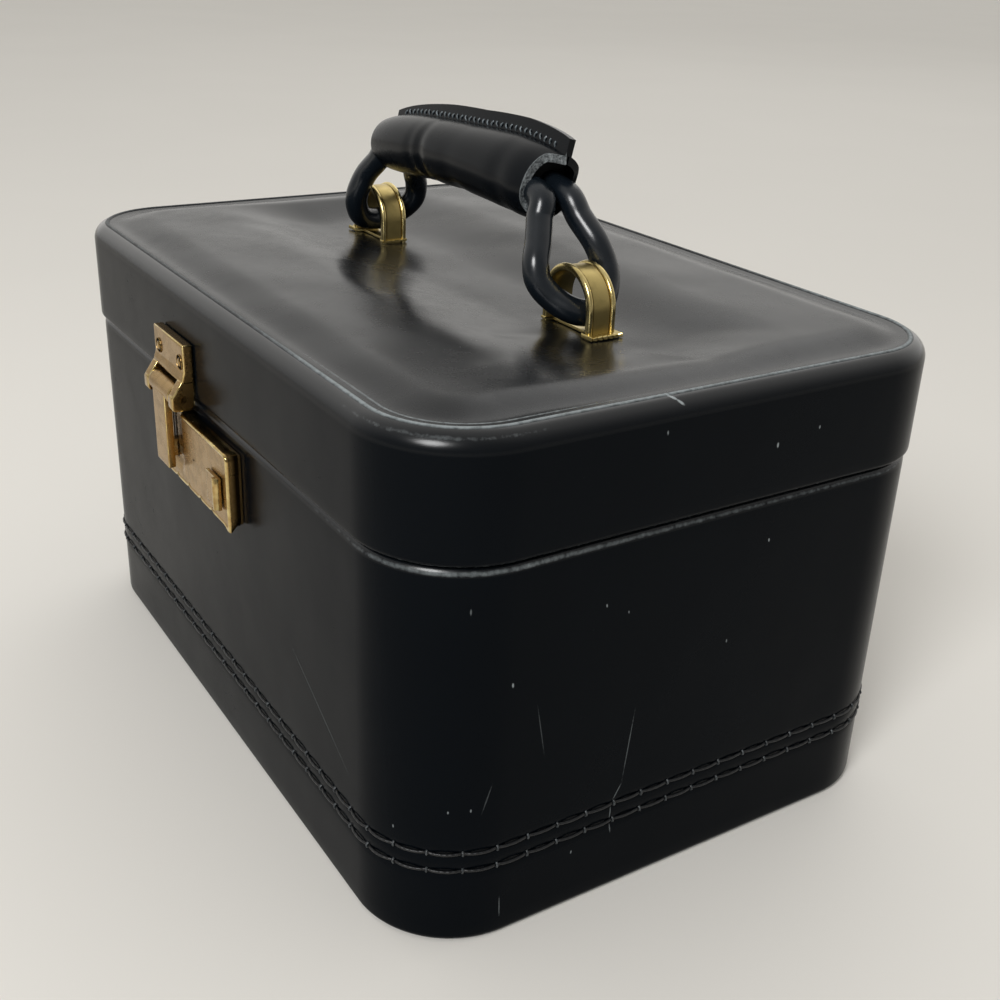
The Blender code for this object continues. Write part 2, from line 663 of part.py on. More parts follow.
def build_hinges(looks, case, lid):
    """Two butt hinges with three knuckles each, riveted through the rear walls."""
    third = HINGE_WIDTH / 6
    clear = BARREL_RADIUS + FIT
    body_back = -HINGE_OFFSET + FIT
    lid_back = -HINGE_OFFSET + LID_OVERHANG + FIT
    body_leaf = leaf_mesh("body_leaf", body_back, up=False)
    lid_leaf = leaf_mesh("lid_leaf", lid_back, up=True)
    pin = to_mesh("pin", rod((-HINGE_WIDTH / 2, 0, 0), (HINGE_WIDTH / 2, 0, 0), PIN_RADIUS))
    wall = LINING_IN + FIT
    reach = HINGE_LEAF_REACH - BACKING_MARGIN
    holes_low = []
    holes_high = []
    for side, name in ((-1, "left"), (1, "right")):
        axis = HINGE_AXIS + Vector((side * HINGE_X, 0, 0))
        lower = place_piece("body_hinge_leaf_" + name, body_leaf, looks["brass"], case, axis)
        upper = place_piece("lid_hinge_leaf_" + name, lid_leaf, looks["brass"], lid, axis)
        place_piece("hinge_pin_" + name, pin, looks["steel"], case, axis)
        half = HINGE_WIDTH / 2 + OVERRUN
        swing = 2 * HINGE_OFFSET
        middle = box(axis + Vector((-third - FIT, -swing, -clear)),
                     axis + Vector((third + FIT, swing, swing)))
        ends = box(axis + Vector((-half, -swing, -swing)), axis + Vector((-third, swing, clear)))
        add_box(ends, axis + Vector((third, -swing, -swing)), axis + Vector((half, swing, clear)))
        bore = tool("hinge_bore_" + name, rod(axis - Vector((half, 0, 0)), axis + Vector((half, 0, 0)),
                                              PIN_RADIUS + FIT))
        combine(lower, tool("knuckle_middle_" + name, middle), "DIFFERENCE")
        combine(upper, tool("knuckle_ends_" + name, ends), "DIFFERENCE")
        for leaf in (lower, upper):
            combine(leaf, bore, "DIFFERENCE")
        below = (-1, lower, case, body_back, 0, holes_low)
        above = (1, upper, lid, lid_back, LID_OVERHANG, holes_high)
        for level, leaf, body, back, drop, holes in (below, above):
            inner = HINGE_OFFSET + wall - drop
            heads = bmesh.new()
            cuts = bmesh.new()
            for x, far in hinge_rivet_places():
                place = axis + Vector((x, -inner - BACKING / 2, level * far))
                through = inner + BACKING / 2 + back + HINGE_LEAF + FIT
                rivet = dome_head(RIVET_SHANK, RIVET_HEAD, RIVET_RISE, through)
                add_turned(heads, rivet, place, (0, 1, 0), SMALL_STEPS)
                holes.append((place - Vector((0, OVERRUN, 0)), place + Vector((0, through + OVERRUN, 0))))
                add_rod(cuts, *holes[-1], RIVET_SHANK + FIT, SMALL_STEPS)
            low, high = sorted((level * (TURN_DEPTH + 2 * FIT), level * reach))
            plate = box(axis + Vector((-HINGE_WIDTH / 2, -inner - BACKING, low)),
                        axis + Vector((HINGE_WIDTH / 2, -inner, high)))
            kind = "body" if level < 0 else "lid"
            title = kind + "_hinge_backing_" + name
            backing = place_piece(title, to_mesh("backing", plate), looks["brass"], body)
            combine(backing, tool(kind + "_hinge_rivets_" + name, heads), "UNION")
            combine(leaf, tool(kind + "_leaf_holes_" + name, cuts), "DIFFERENCE")
    return holes_low, holes_high


def build_stays(looks, case, lid, bodies):
    """Slotted bars between the lid's pivots and the body's studs, which stop the lid."""
    closed_span = 2 * STAY_RADIUS * math.sin((STAY_STUD_DROP + STAY_PIVOT_RISE) / 2)
    open_span = 2 * STAY_RADIUS * math.sin((STAY_STUD_DROP + STAY_PIVOT_RISE + LID_OPEN) / 2)
    neck_hole = STUD_NECK + FIT
    lean = math.atan2(STUD_Y - PIVOT_Y, PIVOT_Z - STUD_Z)
    turn = Matrix.Rotation(lean, 4, "X")
    bar = arc((0, 0), STAY_HALF_WIDTH, 0, math.pi, SMALL_STEPS)
    bar += arc((0, -open_span - neck_hole), STAY_HALF_WIDTH, math.pi, 2 * math.pi, SMALL_STEPS)
    pivot = Vector((0, PIVOT_Y, PIVOT_Z))
    below = (-1, "stay_stud_", case, Vector((0, STUD_Y, STUD_Z)), 0)
    above = (1, "stay_pivot_", lid, pivot, LID_OVERHANG)
    holes = []
    for side, name in ((-1, "left"), (1, "right")):
        face = side * STAY_X
        work = extrude_x(bar, face, face + side * STAY_BAR)
        work.transform(Matrix.Translation(pivot) @ turn)
        stay = place_piece("stay_" + name, to_mesh("stay_" + name, work), looks["brass"], bodies[name])
        slot = arc((0, -closed_span), neck_hole, 0, math.pi, SMALL_STEPS)
        slot += arc((0, -open_span), neck_hole, math.pi, 2 * math.pi, SMALL_STEPS)
        cut = extrude_x(slot, face - side * OVERRUN, face + side * (STAY_BAR + OVERRUN))
        add_rod(cut, (face - side * OVERRUN, 0, 0), (face + side * (STAY_BAR + OVERRUN), 0, 0), neck_hole)
        cut.transform(Matrix.Translation(pivot) @ turn)
        combine(stay, tool("stay_slot_" + name, cut), "DIFFERENCE")
        for level, label, owner, place, overhang in (below, above):
            lining_face = HALF_WIDTH + overhang - TURN_IN - FIT
            anchor = HALF_WIDTH + overhang - BOARD_OUT
            head_back = STAY_X - FIT
            bar_clear = STAY_X + STAY_BAR + FIT
            profile = [(STUD_HEAD, head_back - STUD_HEAD_DEPTH), (STUD_HEAD, head_back),
                       (STUD_NECK, head_back), (STUD_NECK, bar_clear), (STUD_HEAD, bar_clear),
                       (STUD_HEAD, lining_face), (STUD_NECK, lining_face), (STUD_NECK, anchor)]
            stud = bmesh.new()
            add_turned(stud, profile, place, (side, 0, 0))
            place_piece(label + name, to_mesh(label + name, stud), looks["brass"], owner)
            start = place + Vector((side * lining_face, 0, 0))
            holes.append((level, start, place + Vector((side * (anchor + FIT / 2), 0, 0))))
    return holes


def cord_route():
    """Closed route of the cord: both strands through the grip and a turn through each staple."""
    rear = [(share * STAPLE_X, across * EYE_RADIUS, rise * GRIP_RISE) for share, across, rise in REAR_STRAND]
    front = [(share * STAPLE_X, across * EYE_RADIUS, rise * GRIP_RISE) for share, across, rise in FRONT_STRAND]
    turn = []
    for share, degrees, reach in EYE_TURN:
        radius = reach * EYE_RADIUS
        angle = math.radians(degrees)
        turn.append((share * STAPLE_X, radius * math.sin(angle), -radius * math.cos(angle)))
    right = rear + turn + front
    left = [(-x, -y, z) for x, y, z in right]
    return [HANDLE_AXIS + point for point in smooth_route(right + left, ROUTE_STEPS)]


def grip_loop(share):
    """Outline of the grip's leather at one station: a round body with the seam's fin leaning back."""
    swell = 1 - GRIP_END_TAPER * abs(share) ** 6
    wide = GRIP_HALF_WIDTH * swell
    high = GRIP_HALF_HEIGHT * swell
    fin = high + GRIP_FIN_HEIGHT * (1 - FIN_END_TAPER * abs(share) ** 8)
    gap = math.asin(GRIP_FIN_HALF / wide)
    around = arc((0, 0), 1, math.pi / 2 - gap, gap - 1.5 * math.pi, GRIP_STEPS)
    outline = [(wide * y, high * z) for y, z in around] + [(-GRIP_FIN_HALF, fin), (GRIP_FIN_HALF, fin)]
    turn = Matrix.Rotation(GRIP_LEAN, 3, "X")
    middle = Vector((share * GRIP_HALF_LENGTH, 0, GRIP_RISE - GRIP_DROOP * share ** 2))
    return [HANDLE_AXIS + middle + turn @ Vector((0, y, z)) for y, z in outline]


def staple_mesh(leg_end, arch_z):
    """A strap with raised edges, bent into an arch with two straight legs."""
    inner = STAPLE_OUTER - STAPLE_STRIP
    crest = STAPLE_OUTER + STAPLE_RIM_RISE
    soft = STAPLE_RIM_RISE / 2
    groove = STAPLE_HALF_WIDTH - STAPLE_RIM
    half = [(STAPLE_HALF_WIDTH, inner), (STAPLE_HALF_WIDTH, crest - soft), (STAPLE_HALF_WIDTH - soft, crest),
            (groove + soft, crest), (groove, STAPLE_OUTER)]
    section = half + [(-y, reach) for y, reach in reversed(half)]
    loops = [[(reach, y, leg_end) for y, reach in section]]
    for step in range(ARCH_STEPS + 1):
        turn = math.pi * step / ARCH_STEPS
        loops.append([(reach * math.cos(turn), y, arch_z + reach * math.sin(turn)) for y, reach in section])
    loops.append([(-reach, y, leg_end) for y, reach in section])
    return to_mesh("staple", skin_loops(loops, False))


def build_handle(looks, lid, handle, layers):
    """Cord ring with its grip, and the two staples that hold it to the lid."""
    route = cord_route()
    place_piece("handle_cord", tube("handle_cord", route, CORD_RADIUS, True, 2), looks["cord"], handle)
    body = skin_loops([grip_loop(share) for share in GRIP_STATIONS], False)
    grip = place_piece("handle_grip", to_mesh("grip", body), looks["leather"], handle)
    wider = bpy.data.objects.new("grip_bore_path", tube("grip_bore", route, CORD_RADIUS + FIT, True, 2))
    bore = bmesh.new()
    bore.from_mesh(bpy.data.meshes.new_from_object(wider))
    bpy.data.objects.remove(wider)
    combine(grip, tool("grip_bore", bore), "DIFFERENCE")

    leg_end = PANEL_BOARD_BOTTOM - BACKING - FIT
    inner = STAPLE_OUTER - STAPLE_STRIP - FIT
    outer = STAPLE_OUTER + STAPLE_RIM_RISE + FIT
    staple = staple_mesh(leg_end, PANEL_MIDDLE + STAPLE_ARCH_RISE)
    plate_low = PANEL_MIDDLE + FIT
    backing_top = PANEL_BOARD_BOTTOM - FIT
    half = Vector((STAPLE_PLATE_LENGTH / 2, STAPLE_PLATE_WIDTH / 2, 0))
    slots = bmesh.new()
    for side, name in ((-1, "left"), (1, "right")):
        place = Vector((side * STAPLE_X, HANDLE_Y, 0))
        place_piece("handle_staple_" + name, staple, looks["brass"], lid, place)
        for title, look, low, high in (("staple_plate_", "brass", plate_low, plate_low + STAPLE_PLATE),
                                       ("staple_backing_", "steel", backing_top - BACKING, backing_top)):
            plate = box(place - half + Vector((0, 0, low)), place + half + Vector((0, 0, high)))
            layers.append(place_piece(title + name, to_mesh(title + name, plate), looks[look], lid))
        for near, far in ((-outer, -inner), (inner, outer)):
            add_box(slots, place + Vector((near, -STAPLE_HALF_WIDTH - FIT, leg_end - OVERRUN)),
                    place + Vector((far, STAPLE_HALF_WIDTH + FIT, plate_low + STAPLE_PLATE + OVERRUN)))
    cutter = tool("staple_slots", slots)
    for layer in layers:
        combine(layer, cutter, "DIFFERENCE")


def build_hasp(looks, lid, hasp):
    """Plate on the lid with its rivets and pin, and the hasp that hangs from it."""
    axis_y = HASP_AXIS.y
    axis_z = HASP_AXIS.z
    back = LID_FRONT - FIT
    front = LID_FRONT - HASP_PLATE_PROUD
    top = SEAM + HASP_PLATE_TOP
    foot = SEAM + HASP_PLATE_FOOT
    barrel = arc((axis_y, axis_z), HASP_BARREL, 0.75 * math.pi, 2 * math.pi, 14)
    outline = [(back, foot), (back, top - LOCK_EDGE), (back - LOCK_EDGE, top), (front + LOCK_EDGE, top),
               (front, top - LOCK_EDGE), (front, axis_z + PLATE_FLARE_RISE),
               (front - PLATE_FLARE_OUT, axis_z + PLATE_FLARE_LOW)] + barrel
    plate = extrude_x(outline, LATCH_X - HASP_PLATE_HALF, LATCH_X + HASP_PLATE_HALF)
    plate = place_piece("hasp_plate", to_mesh("hasp_plate", plate), looks["brass"], lid)
    gap = HASP_KNUCKLE_HALF + FIT
    swing = HASP_BARREL + FIT
    knuckle = box((LATCH_X - gap, axis_y - 2 * swing, axis_z - 2 * swing),
                  (LATCH_X + gap, back + OVERRUN, axis_z + KNUCKLE_CLEAR_RISE))
    combine(plate, tool("hasp_knuckle_space", knuckle), "DIFFERENCE")
    run = Vector((HASP_PLATE_HALF + OVERRUN, 0, 0))
    bore = tool("hasp_bore", rod(HASP_AXIS - run, HASP_AXIS + run, HASP_PIN + FIT))
    combine(plate, bore, "DIFFERENCE")
    half = Vector((HASP_PLATE_HALF + FIT, 0, 0))
    place_piece("hasp_pin", to_mesh("hasp_pin", rod(HASP_AXIS - half, HASP_AXIS + half, HASP_PIN)),
                looks["steel"], lid)

    holes = []
    shanks = bmesh.new()
    inner = LID_FRONT + LINING_IN + FIT
    for side, name in ((-1, "left"), (1, "right")):
        place = Vector((LATCH_X + HASP_RIVET_SHIFT + side * HASP_RIVET_X, inner, SEAM + HASP_RIVET_RISE))
        length = inner - front + FIT
        profile = [(HASP_RIVET_HEAD, -BACKING), (HASP_RIVET_HEAD, 0)]
        profile += dome_head(RIVET_SHANK, HASP_RIVET_HEAD, HASP_RIVET_DOME, length)
        work = bmesh.new()
        add_turned(work, profile, place, (0, -1, 0))
        place_piece("hasp_rivet_" + name, to_mesh("hasp_rivet_" + name, work), looks["brass"], lid)
        ends = (place + Vector((0, OVERRUN, 0)), place - Vector((0, length + OVERRUN, 0)))
        holes.append(ends)
        add_rod(shanks, *ends, RIVET_SHANK + FIT)
    combine(plate, tool("hasp_plate_holes", shanks), "DIFFERENCE")

    barrel = rod(HASP_AXIS - Vector((HASP_KNUCKLE_HALF, 0, 0)), HASP_AXIS + Vector((HASP_KNUCKLE_HALF, 0, 0)),
                 HASP_BARREL, 24)
    knuckle = place_piece("hasp", to_mesh("hasp", barrel), looks["brass"], hasp)
    left = LATCH_X - HASP_HALF_WIDTH
    right = LATCH_X + HASP_HALF_WIDTH
    face = axis_y - HASP_BARREL
    fold = face + HASP_FOLD
    sheet = face + HASP_SHEET
    channel = [(left, face), (right, face), (right, fold), (right - HASP_SHEET, fold),
               (right - HASP_SHEET, sheet), (left + HASP_SHEET, sheet), (left + HASP_SHEET, fold),
               (left, fold)]
    levels = (axis_z - HASP_LENGTH, axis_z - TONGUE_LAP)
    tongue = skin_loops([[(x, y, z) for x, y in channel] for z in levels], closed=False)
    combine(knuckle, tool("hasp_tongue", tongue), "UNION")
    catch_z = axis_z - CATCH_DROP
    catch_back = -HALF_DEPTH - FIT - 2 * LOCK_WALL
    catch = box((LATCH_X - CATCH_HALF, face + HASP_SHEET / 2, catch_z - CATCH_HALF_HEIGHT),
                (LATCH_X + CATCH_HALF, catch_back, catch_z + CATCH_HALF_HEIGHT))
    combine(knuckle, tool("hasp_catch", catch), "UNION")
    eye_front = -HALF_DEPTH - LOCK_PROUD + LOCK_WALL
    eye_half = CATCH_HALF_HEIGHT - CATCH_BAR
    eye = box((LATCH_X - CATCH_HALF - OVERRUN, eye_front, catch_z - eye_half),
              (LATCH_X + CATCH_HALF + OVERRUN, catch_back - CATCH_BAR, catch_z + eye_half))
    combine(knuckle, tool("hasp_eye", eye), "DIFFERENCE")
    combine(knuckle, bore, "DIFFERENCE")
    return holes


def build_lock(looks, case, slide):
    """Lock box on the body, its bolt, spring and thumb slide, and the plates that hold it."""
    front = -HALF_DEPTH - LOCK_PROUD
    back = -HALF_DEPTH - FIT
    middle_z = LOCK_BOTTOM + LOCK_HEIGHT / 2
    catch_z = HASP_AXIS.z - CATCH_DROP
    size = (LOCK_WIDTH, LOCK_HEIGHT, LOCK_CORNER)
    soft = LOCK_EDGE / 3
    depth = LOCK_PROUD - FIT - LOCK_WALL - FIT
    shell = [(LOCK_EDGE, depth), (soft, depth - soft), (0, depth - LOCK_EDGE), (0, 0), (LOCK_WALL, 0),
             (LOCK_WALL, depth - LOCK_WALL)]
    work = wrap(size, shell, closed=False)
    upright = Matrix.Rotation(math.pi / 2, 4, "X")
    work.transform(Matrix.Translation((LOCK_CENTRE_X, back - LOCK_WALL - FIT, middle_z)) @ upright)
    lock = place_piece("lock_case", to_mesh("lock_case", work), looks["brass"], case)
    channel_half = CATCH_HALF + 2 * FIT
    channel = box((LATCH_X - channel_half, front - OVERRUN, catch_z - CATCH_HALF_HEIGHT - 2 * FIT),
                  (LATCH_X + channel_half, back - LOCK_WALL, LOCK_BOTTOM + LOCK_HEIGHT + OVERRUN))
    stem_x = SLIDE_LEFT + SLIDE_WIDTH / 2 - SLIDE_TRAVEL / 2
    add_box(channel, (stem_x - STEM_HALF_WIDTH - FIT, front - OVERRUN, catch_z - STEM_HALF_HEIGHT - FIT),
            (stem_x + STEM_HALF_WIDTH + SLIDE_TRAVEL + FIT, front + LOCK_WALL + OVERRUN / 2,
             catch_z + STEM_HALF_HEIGHT + FIT))
    combine(lock, tool("lock_openings", channel), "DIFFERENCE")

    half_width = LOCK_WIDTH / 2 - LOCK_WALL
    half_height = LOCK_HEIGHT / 2 - LOCK_WALL
    plate = box((LOCK_CENTRE_X - half_width, back - LOCK_WALL, middle_z - half_height),
                (LOCK_CENTRE_X + half_width, back, middle_z + half_height))
    plate = place_piece("lock_back_plate", to_mesh("lock_back", plate), looks["brass"], case)
    inner = -HALF_DEPTH + LINING_IN + FIT
    shanks = bmesh.new()
    cuts = bmesh.new()
    holes = []
    for x in (-LOCK_SHANK_X, LOCK_SHANK_X):
        for z in (-LOCK_SHANK_Z, LOCK_SHANK_Z):
            start = Vector((LOCK_CENTRE_X + x, back - LOCK_WALL / 2, middle_z + z))
            end = Vector((start.x, inner + BACKING, start.z))
            add_rod(shanks, start, end, RIVET_SHANK, SMALL_STEPS)
            holes.append((Vector((start.x, back, start.z)), end + Vector((0, OVERRUN, 0))))
            add_rod(cuts, *holes[-1], RIVET_SHANK + FIT, SMALL_STEPS)
    combine(plate, tool("lock_shanks", shanks), "UNION")
    inside = box((LOCK_CENTRE_X - half_width, inner, middle_z - half_height),
                 (LOCK_CENTRE_X + half_width, inner + BACKING, RIM_HEIGHT - TURN_DEPTH - 2 * FIT))
    inside = place_piece("lock_inner_plate", to_mesh("lock_inner", inside), looks["steel"], case)
    combine(inside, tool("lock_inner_holes", cuts), "DIFFERENCE")

    bolt_back = back - LOCK_WALL - FIT
    bolt_front = bolt_back - BOLT_THICKNESS
    bolt_middle = -HALF_DEPTH - (LOCK_PROUD - LOCK_WALL + FIT + 2 * LOCK_WALL + CATCH_BAR) / 2
    bolt = box((BOLT_LEFT + NOSE_LENGTH, bolt_front, catch_z - BOLT_HALF_HEIGHT),
               (BOLT_RIGHT, bolt_back, catch_z + BOLT_HALF_HEIGHT))
    bolt = place_piece("lock_bolt", to_mesh("lock_bolt", bolt), looks["steel"], slide)
    nose_end = BOLT_LEFT + NOSE_LENGTH + OVERRUN
    nose = box((BOLT_LEFT, bolt_middle - NOSE_HALF_THICKNESS, catch_z - NOSE_HALF_HEIGHT),
               (nose_end, bolt_middle + NOSE_HALF_THICKNESS, catch_z + NOSE_HALF_HEIGHT))
    combine(bolt, tool("lock_nose", nose), "UNION")

    pad_back = front - FIT
    pad_front = pad_back - SLIDE_PAD
    right = SLIDE_LEFT + SLIDE_WIDTH
    outline = [(SLIDE_LEFT, pad_back), (SLIDE_LEFT, pad_front), (right - 2 * SLIDE_RIB, pad_front),
               (right - SLIDE_RIB, pad_front - SLIDE_RIB_HEIGHT), (right, pad_front - SLIDE_RIB_HEIGHT),
               (right, pad_back), (stem_x + STEM_HALF_WIDTH, pad_back)]
    levels = (catch_z - SLIDE_HALF_HEIGHT, catch_z + SLIDE_HALF_HEIGHT)
    pad = skin_loops([[(x, y, z) for x, y in outline] for z in levels], closed=False)
    button = place_piece("slide_button", to_mesh("slide_button", pad), looks["brass"], slide)
    stem = box((stem_x - STEM_HALF_WIDTH, pad_back - SLIDE_PAD / 2, catch_z - STEM_HALF_HEIGHT),
               (stem_x + STEM_HALF_WIDTH, bolt_front - FIT, catch_z + STEM_HALF_HEIGHT))
    combine(button, tool("slide_stem", stem), "UNION")

    spring_start = BOLT_RIGHT + FIT
    spring_end = LOCK_CENTRE_X + half_width - FIT
    pitch = (spring_end - spring_start - 2 * SPRING_WIRE) / SPRING_TURNS
    coil = []
    for step in range(8 * SPRING_TURNS + 1):
        angle = math.pi * step / 4
        coil.append((spring_start + SPRING_WIRE + pitch * step / 8,
                     (bolt_back + bolt_front) / 2 + SPRING_RADIUS * math.cos(angle),
                     catch_z + SPRING_RADIUS * math.sin(angle)))
    place_piece("bolt_spring", tube("bolt_spring", coil, SPRING_WIRE, False, 1), looks["steel"], case)
    return holes


def drill(name, pieces, holes, radius):
    """Cut the same row of round holes through several layers."""
    cuts = bmesh.new()
    for start, end in holes:
        add_rod(cuts, start, end, radius, SMALL_STEPS)
    cutter = tool(name, cuts)
    for piece in pieces:
        combine(piece, cutter, "DIFFERENCE")


def build_case():
    """Model the whole case."""
    clear_scene()
    looks = make_finishes()
    case = carrier("case", (0, 0, 0))
    lid = carrier("lid_axis", HINGE_AXIS, case)
    hasp = carrier("hasp_axis", HASP_AXIS, lid)
    handle = carrier("handle_axis", HANDLE_AXIS, lid)
    slide = carrier("slide_axis", SLIDE_AXIS, case)
    stay_bodies = {name: carrier("stay_axis_" + name, (side * STAY_X, PIVOT_Y, PIVOT_Z), lid)
                   for side, name in ((-1, "left"), (1, "right"))}

    body_leather, body_board, body_lining = build_body_shell(looks, case)
    lid_leather, lid_board, lid_lining, top_layers = build_lid_shell(looks, lid)
    build_mirror(looks, lid)
    rear_low, rear_high = build_hinges(looks, case, lid)
    stay_holes = build_stays(looks, case, lid, stay_bodies)
    build_handle(looks, lid, handle, list(top_layers))
    hasp_holes = build_hasp(looks, lid, hasp)
    lock_holes = build_lock(looks, case, slide)

    body_walls = (body_leather, body_board, body_lining)
    lid_walls = (lid_leather, lid_board, lid_lining)
    body_studs = [(start, end) for level, start, end in stay_holes if level < 0]
    lid_pivots = [(start, end) for level, start, end in stay_holes if level > 0]
    drill("body_rivet_holes", body_walls, rear_low + lock_holes, RIVET_SHANK + FIT)
    drill("lid_rivet_holes", lid_walls, rear_high + hasp_holes, RIVET_SHANK + FIT)
    drill("body_stud_holes", (body_board, body_lining), body_studs, STUD_NECK + FIT)
    drill("lid_pivot_holes", (lid_board, lid_lining), lid_pivots, STUD_NECK + FIT)


build_case()
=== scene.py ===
"""Looks of the vanity case: leather skin, padded lid, cord handle, gilt latch, lining and a stage."""

import math
from functools import partial

import bmesh
import bpy
import numpy as np
from mathutils import Matrix, Vector


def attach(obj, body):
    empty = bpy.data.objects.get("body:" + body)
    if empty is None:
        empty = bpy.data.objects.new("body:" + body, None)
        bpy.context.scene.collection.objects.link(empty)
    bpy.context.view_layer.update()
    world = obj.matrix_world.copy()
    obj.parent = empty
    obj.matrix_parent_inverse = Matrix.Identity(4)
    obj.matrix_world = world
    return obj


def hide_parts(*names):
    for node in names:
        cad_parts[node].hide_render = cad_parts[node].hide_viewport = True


bl_info = {
    "name": "Vanity case looks",
    "version": (1, 0, 0),
    "blender": (4, 5, 0),
    "location": "3D View > Sidebar > Vanity case",
    "description": "Dresses the packed vanity case with finished pieces and materials",
    "category": "Object",
}

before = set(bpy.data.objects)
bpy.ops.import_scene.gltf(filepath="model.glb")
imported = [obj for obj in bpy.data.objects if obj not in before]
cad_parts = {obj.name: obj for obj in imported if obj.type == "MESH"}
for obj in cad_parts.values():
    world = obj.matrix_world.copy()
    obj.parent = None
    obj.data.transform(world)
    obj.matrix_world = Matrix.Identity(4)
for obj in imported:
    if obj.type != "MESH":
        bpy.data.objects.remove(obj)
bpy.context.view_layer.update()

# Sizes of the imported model, in metres, as its source has them
CASE_SIZE = (0.330, 0.228, 0.037)
LID_OVERHANG = 0.0012
LID_SIZE = (0.3324, 0.2304, 0.0382)
RIM_HEIGHT = 0.145
FIT = 0.0003
SEAM = RIM_HEIGHT + FIT
BASE_SEAM = 0.0345
BASE_ROUND = 0.003
LEATHER = 0.0012
BOARD = 0.003
LINING = 0.0008
EDGE_ROUND = 0.002
RIM_ROUND = 0.0036
TURN_DEPTH = 0.008
SKIN_OUT = LEATHER + FIT + BOARD + FIT
TURN_IN = SKIN_OUT + LEATHER
LINING_IN = SKIN_OUT + LINING
LINING_FLOOR = LEATHER + FIT + BOARD + FIT + LINING
SHOULDER = 0.007
SHOULDER_TURN = math.radians(70)
SHOULDER_TUCK = math.radians(84)
WELT_HEIGHT = 0.0422
WELT_RADIUS = 0.0012
WELT_INSET = SHOULDER * (1 - math.cos(SHOULDER_TURN)) + WELT_RADIUS + FIT
SHOULDER_BASE = SEAM + WELT_HEIGHT - SHOULDER * math.sin(SHOULDER_TURN)
PANEL_INSET = WELT_INSET + WELT_RADIUS + FIT
PANEL_TUCK = 0.0009
PANEL_LIFT = 0.0006
WELT_SINK = 0.0005
PANEL_EDGE = SEAM + WELT_HEIGHT - 0.0004
PANEL_BOARD_BOTTOM = SEAM + WELT_HEIGHT - 0.0093
PANEL_BOARD_TOP = PANEL_BOARD_BOTTOM + BOARD
CROWN = 0.0034
CROWN_REACH = 0.020
SAG = 0.0062
SAG_HALF_WIDTH = 0.012
SAG_HALF_LENGTH = 0.108
SAG_FADE = 0.046
PANEL_MIDDLE = PANEL_EDGE + CROWN - SAG
LID_LINING_TOP = PANEL_BOARD_BOTTOM - 0.001 - 2 * FIT
LID_LINING_UNDER = LID_LINING_TOP - LINING

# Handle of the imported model
HANDLE_AXIS = Vector((0, 0.0017, PANEL_MIDDLE + 0.0221 + FIT))
STAPLE_X = 0.0795
CORD_RADIUS = 0.005
EYE_RADIUS = 0.0155
GRIP_HALF_LENGTH = 0.0645
GRIP_HALF_WIDTH = 0.0140
GRIP_HALF_HEIGHT = 0.0128
GRIP_RISE = 0.0258
GRIP_DROOP = 0.0040
GRIP_TURN = Matrix.Rotation(math.radians(-14), 3, "X")
GRIP_FIN_HEIGHT = 0.0062
GRIP_FIN_HALF = 0.0015
# Along the grip from its left end to its right: how far its upper half is drawn up, and the fin's height
GRIP_LIFT = ((-0.3, 0.1, 0.56, 1.0), (0.0, 0.0008, 0.0030, 0.0035))
GRIP_FIN_SHAPE = ((-1.0, -0.3, 1.0), (0.0030, 0.0058, GRIP_FIN_HEIGHT))
# How far each end of the sleeve is cut back, by the angle round it
GRIP_CUT_LEFT = ((0, 60, 80, 270, 360), (0.10, 0.03, 0.0, 0.0, 0.10))
GRIP_CUT_RIGHT = ((0, 30, 60, 80, 97, 112, 150, 180, 210, 240, 270, 310, 360),
                  (0.12, 0.09, 0.03, 0.025, 0.025, 0.12, 0.13, 0.135, 0.15, 0.13, 0.14, 0.15, 0.12))
REAR_STRAND = ((0, 0.36, 1), (0.47, 0.36, 0.96), (0.745, 0.37, 0.86), (0.840, 0.46, 0.57),
               (0.932, 0.62, 0.28))
EYE_TURN = ((0.975, 85, 0.78), (1.005, 58, 0.88), (1.045, 30, 0.98), (1.070, 0, 1), (1.045, -24, 1),
            (0.985, -48, 1), (0.940, -72, 1.03), (0.910, -95, 0.98))
FRONT_STRAND = ((0.865, -0.78, 0.28), (0.800, -0.55, 0.57), (0.745, -0.37, 0.86), (0.47, -0.36, 0.96))
STAPLE_OUTER = 0.0143
STAPLE_STRIP = 0.002
STAPLE_HALF_WIDTH = 0.0060
STAPLE_ARCH_Z = PANEL_MIDDLE + 0.0090
STAPLE_PLATE_HALF = (0.0185, 0.0069)
STAPLE_PLATE = 0.001

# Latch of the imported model
CASE_FRONT = -CASE_SIZE[1] / 2
LID_FRONT = CASE_FRONT - LID_OVERHANG
LATCH_X = -0.024
HASP_AXIS = Vector((LATCH_X, LID_FRONT - 0.0053, SEAM + 0.0013))
HASP_BARREL = 0.0045
HASP_KNUCKLE_HALF = 0.0117
LUG_ROUND = 0.0016
HASP_PLATE_HALF = 0.0168
HASP_PLATE_TOP = SEAM + 0.0230
HASP_PLATE_FRONT = LID_FRONT - 0.0044
HASP_HALF_WIDTH = 0.007
HASP_LENGTH = 0.0315
CATCH_Z = HASP_AXIS.z - 0.0250
LOCK_WIDTH = 0.072
LOCK_HEIGHT = 0.030
LOCK_CENTRE_X = -0.0005
LOCK_MIDDLE_Z = RIM_HEIGHT - 0.036 + LOCK_HEIGHT / 2
LOCK_FRONT = CASE_FRONT - 0.0063
SLIDE_LEFT = 0.018
SLIDE_WIDTH = 0.012
SLIDE_HALF_HEIGHT = 0.0065
LOCK_CORNER = 0.003
LOCK_WALL = 0.001
STEM_X = 0.022
SLIDE_STEM_BACK = -0.1187
RECESS_DEPTH = 0.0013
RECESS_DEPTH_INSIDE = 0.0006
RECESS_FOOT = 0.1125
LOCK_NICKS = (0.0175, 0.0050, -0.0083, -0.0212)
